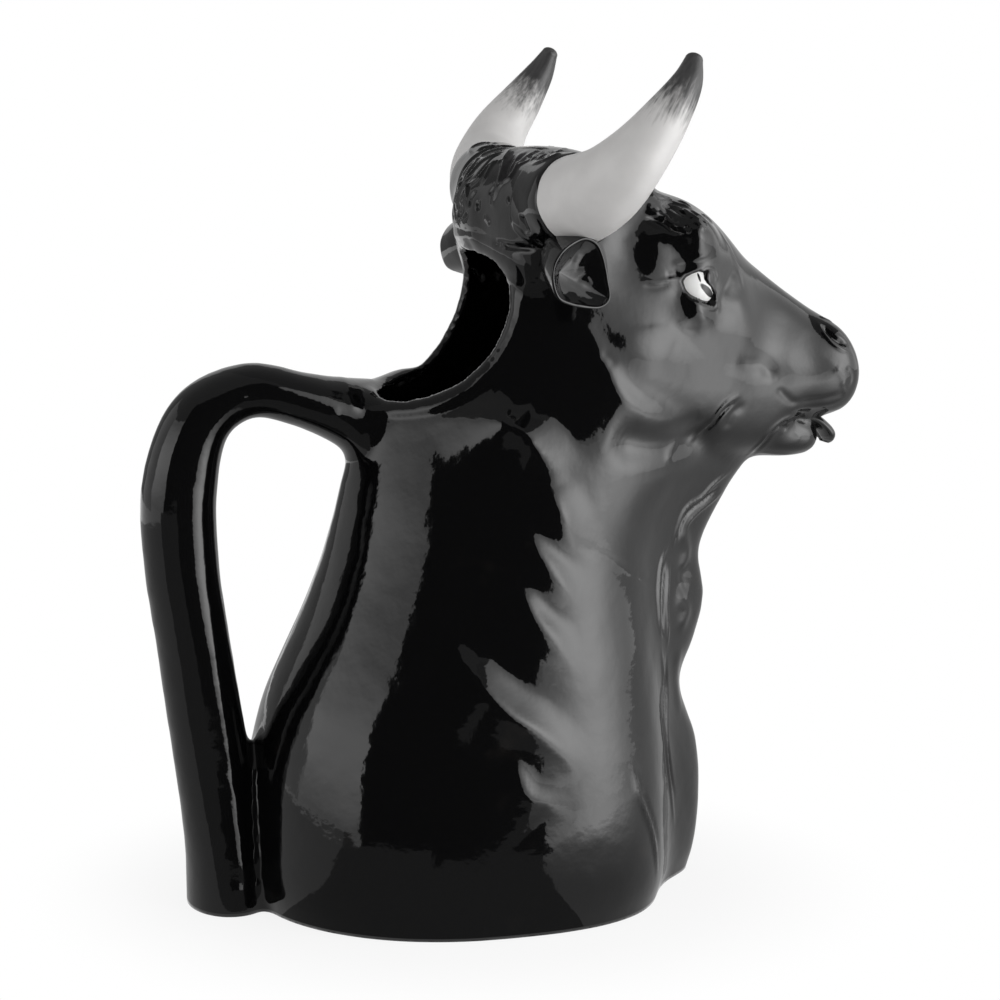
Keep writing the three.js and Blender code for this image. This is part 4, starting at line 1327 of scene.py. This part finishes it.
# The pieces
jug_mesh = jug_skin()
glaze = black_glaze()
ivory = ivory_glaze()
eyeball = oval(EYE["at"], [EYE["radius"]] * 3, **FACETS["eye"])
near_eyeball = mirrored(eyeball)
white = eye_glaze(Skin(near_eyeball))
horn = rounded_horn()
ear = near_ear()

piece("glazed_jug", jug_mesh, glaze, "black_glaze", "vessel", "head", "handle", "lower_jaw", "poll_hair")
piece("tongue_glazed", tongue_form(), glaze, "black_glaze", "tongue")
piece("ear_right_glazed", ear, glaze, "black_glaze", "ear_right")
piece("ear_left_glazed", mirrored(ear), glaze, "black_glaze", "ear_left")
piece("horn_left_glazed", horn, ivory, "ivory_glaze", "horn_left")
piece("horn_right_glazed", mirrored(horn), ivory, "ivory_glaze", "horn_right")
piece("eye_left_glazed", eyeball, white, "eye_glaze", "eye_left")
piece("eye_right_glazed", near_eyeball, white, "eye_glaze", "eye_right")


# The studio, in metres
SQUARE = [(-1, -1, 0), (1, -1, 0), (1, 1, 0), (-1, 1, 0)]
SQUARE_FACE = [(0, 1, 2, 3)]
SOFT_BOX_AIM = (0.02, 0, 0.14)
SOFT_BOX_DISTANCE = 1.5
FLAG_DISTANCE = 1.2
FLAG_FACETS = 24
FLOOR_REACH = 6.0
FLOOR_PAINT = (0.85, 0.85, 0.85, 1)
# How much of the floor's look is the white of the air, at the first distance from the jug and the second
FLOOR_FADE = {"reach": (0.08, 0.15), "share": (0.86, 1.0)}
# The strength of the light from all round
AIR_LIGHT = 0.55


def seen_rays(shop):
    """1 for what the camera, gloss and glass see, 0 for what only lights."""
    kinds = ("Is Camera Ray", "Is Glossy Ray", "Is Transmission Ray")
    camera, gloss, glass = (shop.node("ShaderNodeLightPath", output=kind) for kind in kinds)
    return shop.math("MAXIMUM", shop.math("MAXIMUM", camera, gloss), glass)


def sheet(name, points, faces, look):
    """A flat or curved sheet of the studio, in metres; look makes its shader."""
    mesh = bpy.data.meshes.new(name)
    mesh.from_pydata(points, [], faces)
    made = bpy.data.objects.new(name, mesh)
    bpy.context.scene.collection.objects.link(made)
    material, shop = finish(name)
    shop.node("ShaderNodeOutputMaterial", inputs={"Surface": look(shop)})
    mesh.materials.append(material)
    return made


def card(name, points, faces, shade):
    """A glowing sheet, which the camera doesn't see; shade makes its radiance."""

    def glow(shop):
        return shop.node("ShaderNodeEmission", inputs={"Strength": shade(shop)})

    made = sheet(name, points, faces, glow)
    made.visible_camera = False
    return made


def soft_box(name, azimuth, elevation, width, height, radiance, hot):
    """A soft box that looks at the jug from a direction, in degrees from +X and above the table. hot gives
    the place of its brighter core and the core's width and height, as shares of the half-sizes, and its
    extra radiance."""
    a, e = math.radians(azimuth), math.radians(elevation)
    way = Vector((math.cos(a) * math.cos(e), math.sin(a) * math.cos(e), math.sin(e)))

    def shade(shop):
        place = shop.node("ShaderNodeTexCoord", output="Object")
        split = {axis: shop.node("ShaderNodeSeparateXYZ", inputs={0: place}, output=axis) for axis in "XY"}
        u, v, wide, high, extra = hot
        away = ((split["X"] - u) / wide) ** 2 + ((split["Y"] - v) / high) ** 2
        return radiance + extra * math.e**-away

    box = card(name, SQUARE, SQUARE_FACE, shade)
    box.scale = (width / 2, height / 2, 1)
    box.location = Vector(SOFT_BOX_AIM) + way * SOFT_BOX_DISTANCE
    box.rotation_euler = way.to_track_quat("Z", "Y").to_euler()


def flag(name, azimuths, reach, heights, radiance, hot=None):
    """A curved card round the jug, seen by gloss alone, from one reach and height to another. Where the two
    heights are alike it lies flat. hot gives the direction of its brighter streak, the streak's half-width
    as a share of the reach, the reaches between which it grows, and its extra radiance."""
    turns = np.radians(np.linspace(*azimuths, FLAG_FACETS + 1))
    points = [(r * math.cos(t), r * math.sin(t), h) for r, h in zip(reach, heights) for t in turns]
    count = len(turns)
    faces = [(i, i + 1, count + i + 1, count + i) for i in range(FLAG_FACETS)]

    def shade(shop):
        if not hot:
            return radiance
        azimuth, wide, begins, full, extra = hot
        place = shop.node("ShaderNodeTexCoord", output="Object")
        beside = (math.sin(math.radians(azimuth)), -math.cos(math.radians(azimuth)), 0)
        away = shop.vector("LENGTH", place, output="Value")
        across = shop.dot(place, beside) / (away * wide)
        return radiance + extra * shop.ramp(away, begins, full) * math.e ** -(across * across)

    made = card(name, points, faces, shade)
    made.visible_diffuse = made.visible_shadow = made.visible_transmission = False


def standing_flag(name, azimuths, height, radiance):
    flag(name, azimuths, (FLAG_DISTANCE, FLAG_DISTANCE), (0, height), radiance)


def lying_card(name, azimuths, reach, height, radiance, hot=None):
    flag(name, azimuths, reach, (height, height), radiance, hot)


def floor_look(shop):
    """Pale paint that goes over into the white of the air away from the jug."""
    paint = shop.node("ShaderNodeBsdfDiffuse", inputs={"Color": FLOOR_PAINT})
    glow = shop.node("ShaderNodeEmission", inputs={"Strength": 1.0})
    away = shop.vector("LENGTH", shop.node("ShaderNodeTexCoord", output="Object"), output="Value")
    fade = shop.ramp(away, *FLOOR_FADE["reach"], *FLOOR_FADE["share"])
    return shop.node("ShaderNodeMixShader", inputs={0: fade * seen_rays(shop), 1: paint, 2: glow})


def light_air():
    """Soft light from all round, and the white that the camera sees behind the jug."""
    world = bpy.data.worlds.new("studio")
    bpy.context.scene.world = world
    shop = emptied(world)
    strength = AIR_LIGHT + (1 - AIR_LIGHT) * seen_rays(shop)
    air = shop.node("ShaderNodeBackground", inputs={"Color": (1, 1, 1, 1), "Strength": strength})
    shop.node("ShaderNodeOutputWorld", inputs={"Surface": air})


def set_camera():
    camera = bpy.data.objects.new("camera", bpy.data.cameras.new("camera"))
    bpy.context.scene.collection.objects.link(camera)
    camera.data.sensor_width = SENSOR
    camera.data.sensor_fit = "HORIZONTAL"
    camera.data.lens = FOCAL_PX / PHOTO_PX * SENSOR
    camera.data.clip_start = NEAREST_SEEN
    camera.location = CAMERA_AT * MM
    camera.rotation_euler = (math.radians(90 - CAMERA_TILT), 0, math.radians(-CAMERA_TURN))
    bpy.context.scene.camera = camera


set_camera()
soft_box("front_soft_box", azimuth=-22, elevation=16, width=3.2, height=1.6, radiance=1.3,
         hot=(-0.24, -0.26, 0.38, 0.72, 4.2))
soft_box("back_soft_box", azimuth=188, elevation=11, width=1.15, height=0.9, radiance=0.25,
         hot=(0, 0, 9, 1, 1.65))
standing_flag("near_flag", azimuths=(209, 290), height=1.4, radiance=0.035)
lying_card("near_table_cloth", azimuths=(200, 290), reach=(0.03, 1.2), height=0.001, radiance=0.18)
lying_card("near_black_cloth", azimuths=(250, 294), reach=(0.3, 1.2), height=0.002, radiance=0.04)
lying_card("front_table_sheet", azimuths=(290, 412), reach=(0.03, 2.2), height=0.001, radiance=0.5,
           hot=(321, 0.42, 0.1, 0.6, 3.6))
standing_flag("far_flag", azimuths=(28, 100), height=0.9, radiance=0.6)
standing_flag("side_flag", azimuths=(100, 128), height=0.9, radiance=0.22)
standing_flag("back_flag", azimuths=(128, 166), height=0.9, radiance=0.62)
lying_card("far_table_cloth", azimuths=(52, 200), reach=(0.03, 0.8), height=0.001, radiance=0.45)
lying_card("overhead_card", azimuths=(100, 300), reach=(0.01, 2.2), height=1.4, radiance=0.25)
lying_card("front_overhead_card", azimuths=(-60, 100), reach=(0.01, 2.2), height=1.4, radiance=0.2)
sheet("floor", [(x * FLOOR_REACH, y * FLOOR_REACH, z) for x, y, z in SQUARE], SQUARE_FACE, floor_look)
light_air()

bpy.context.scene.view_settings.view_transform = "Standard"
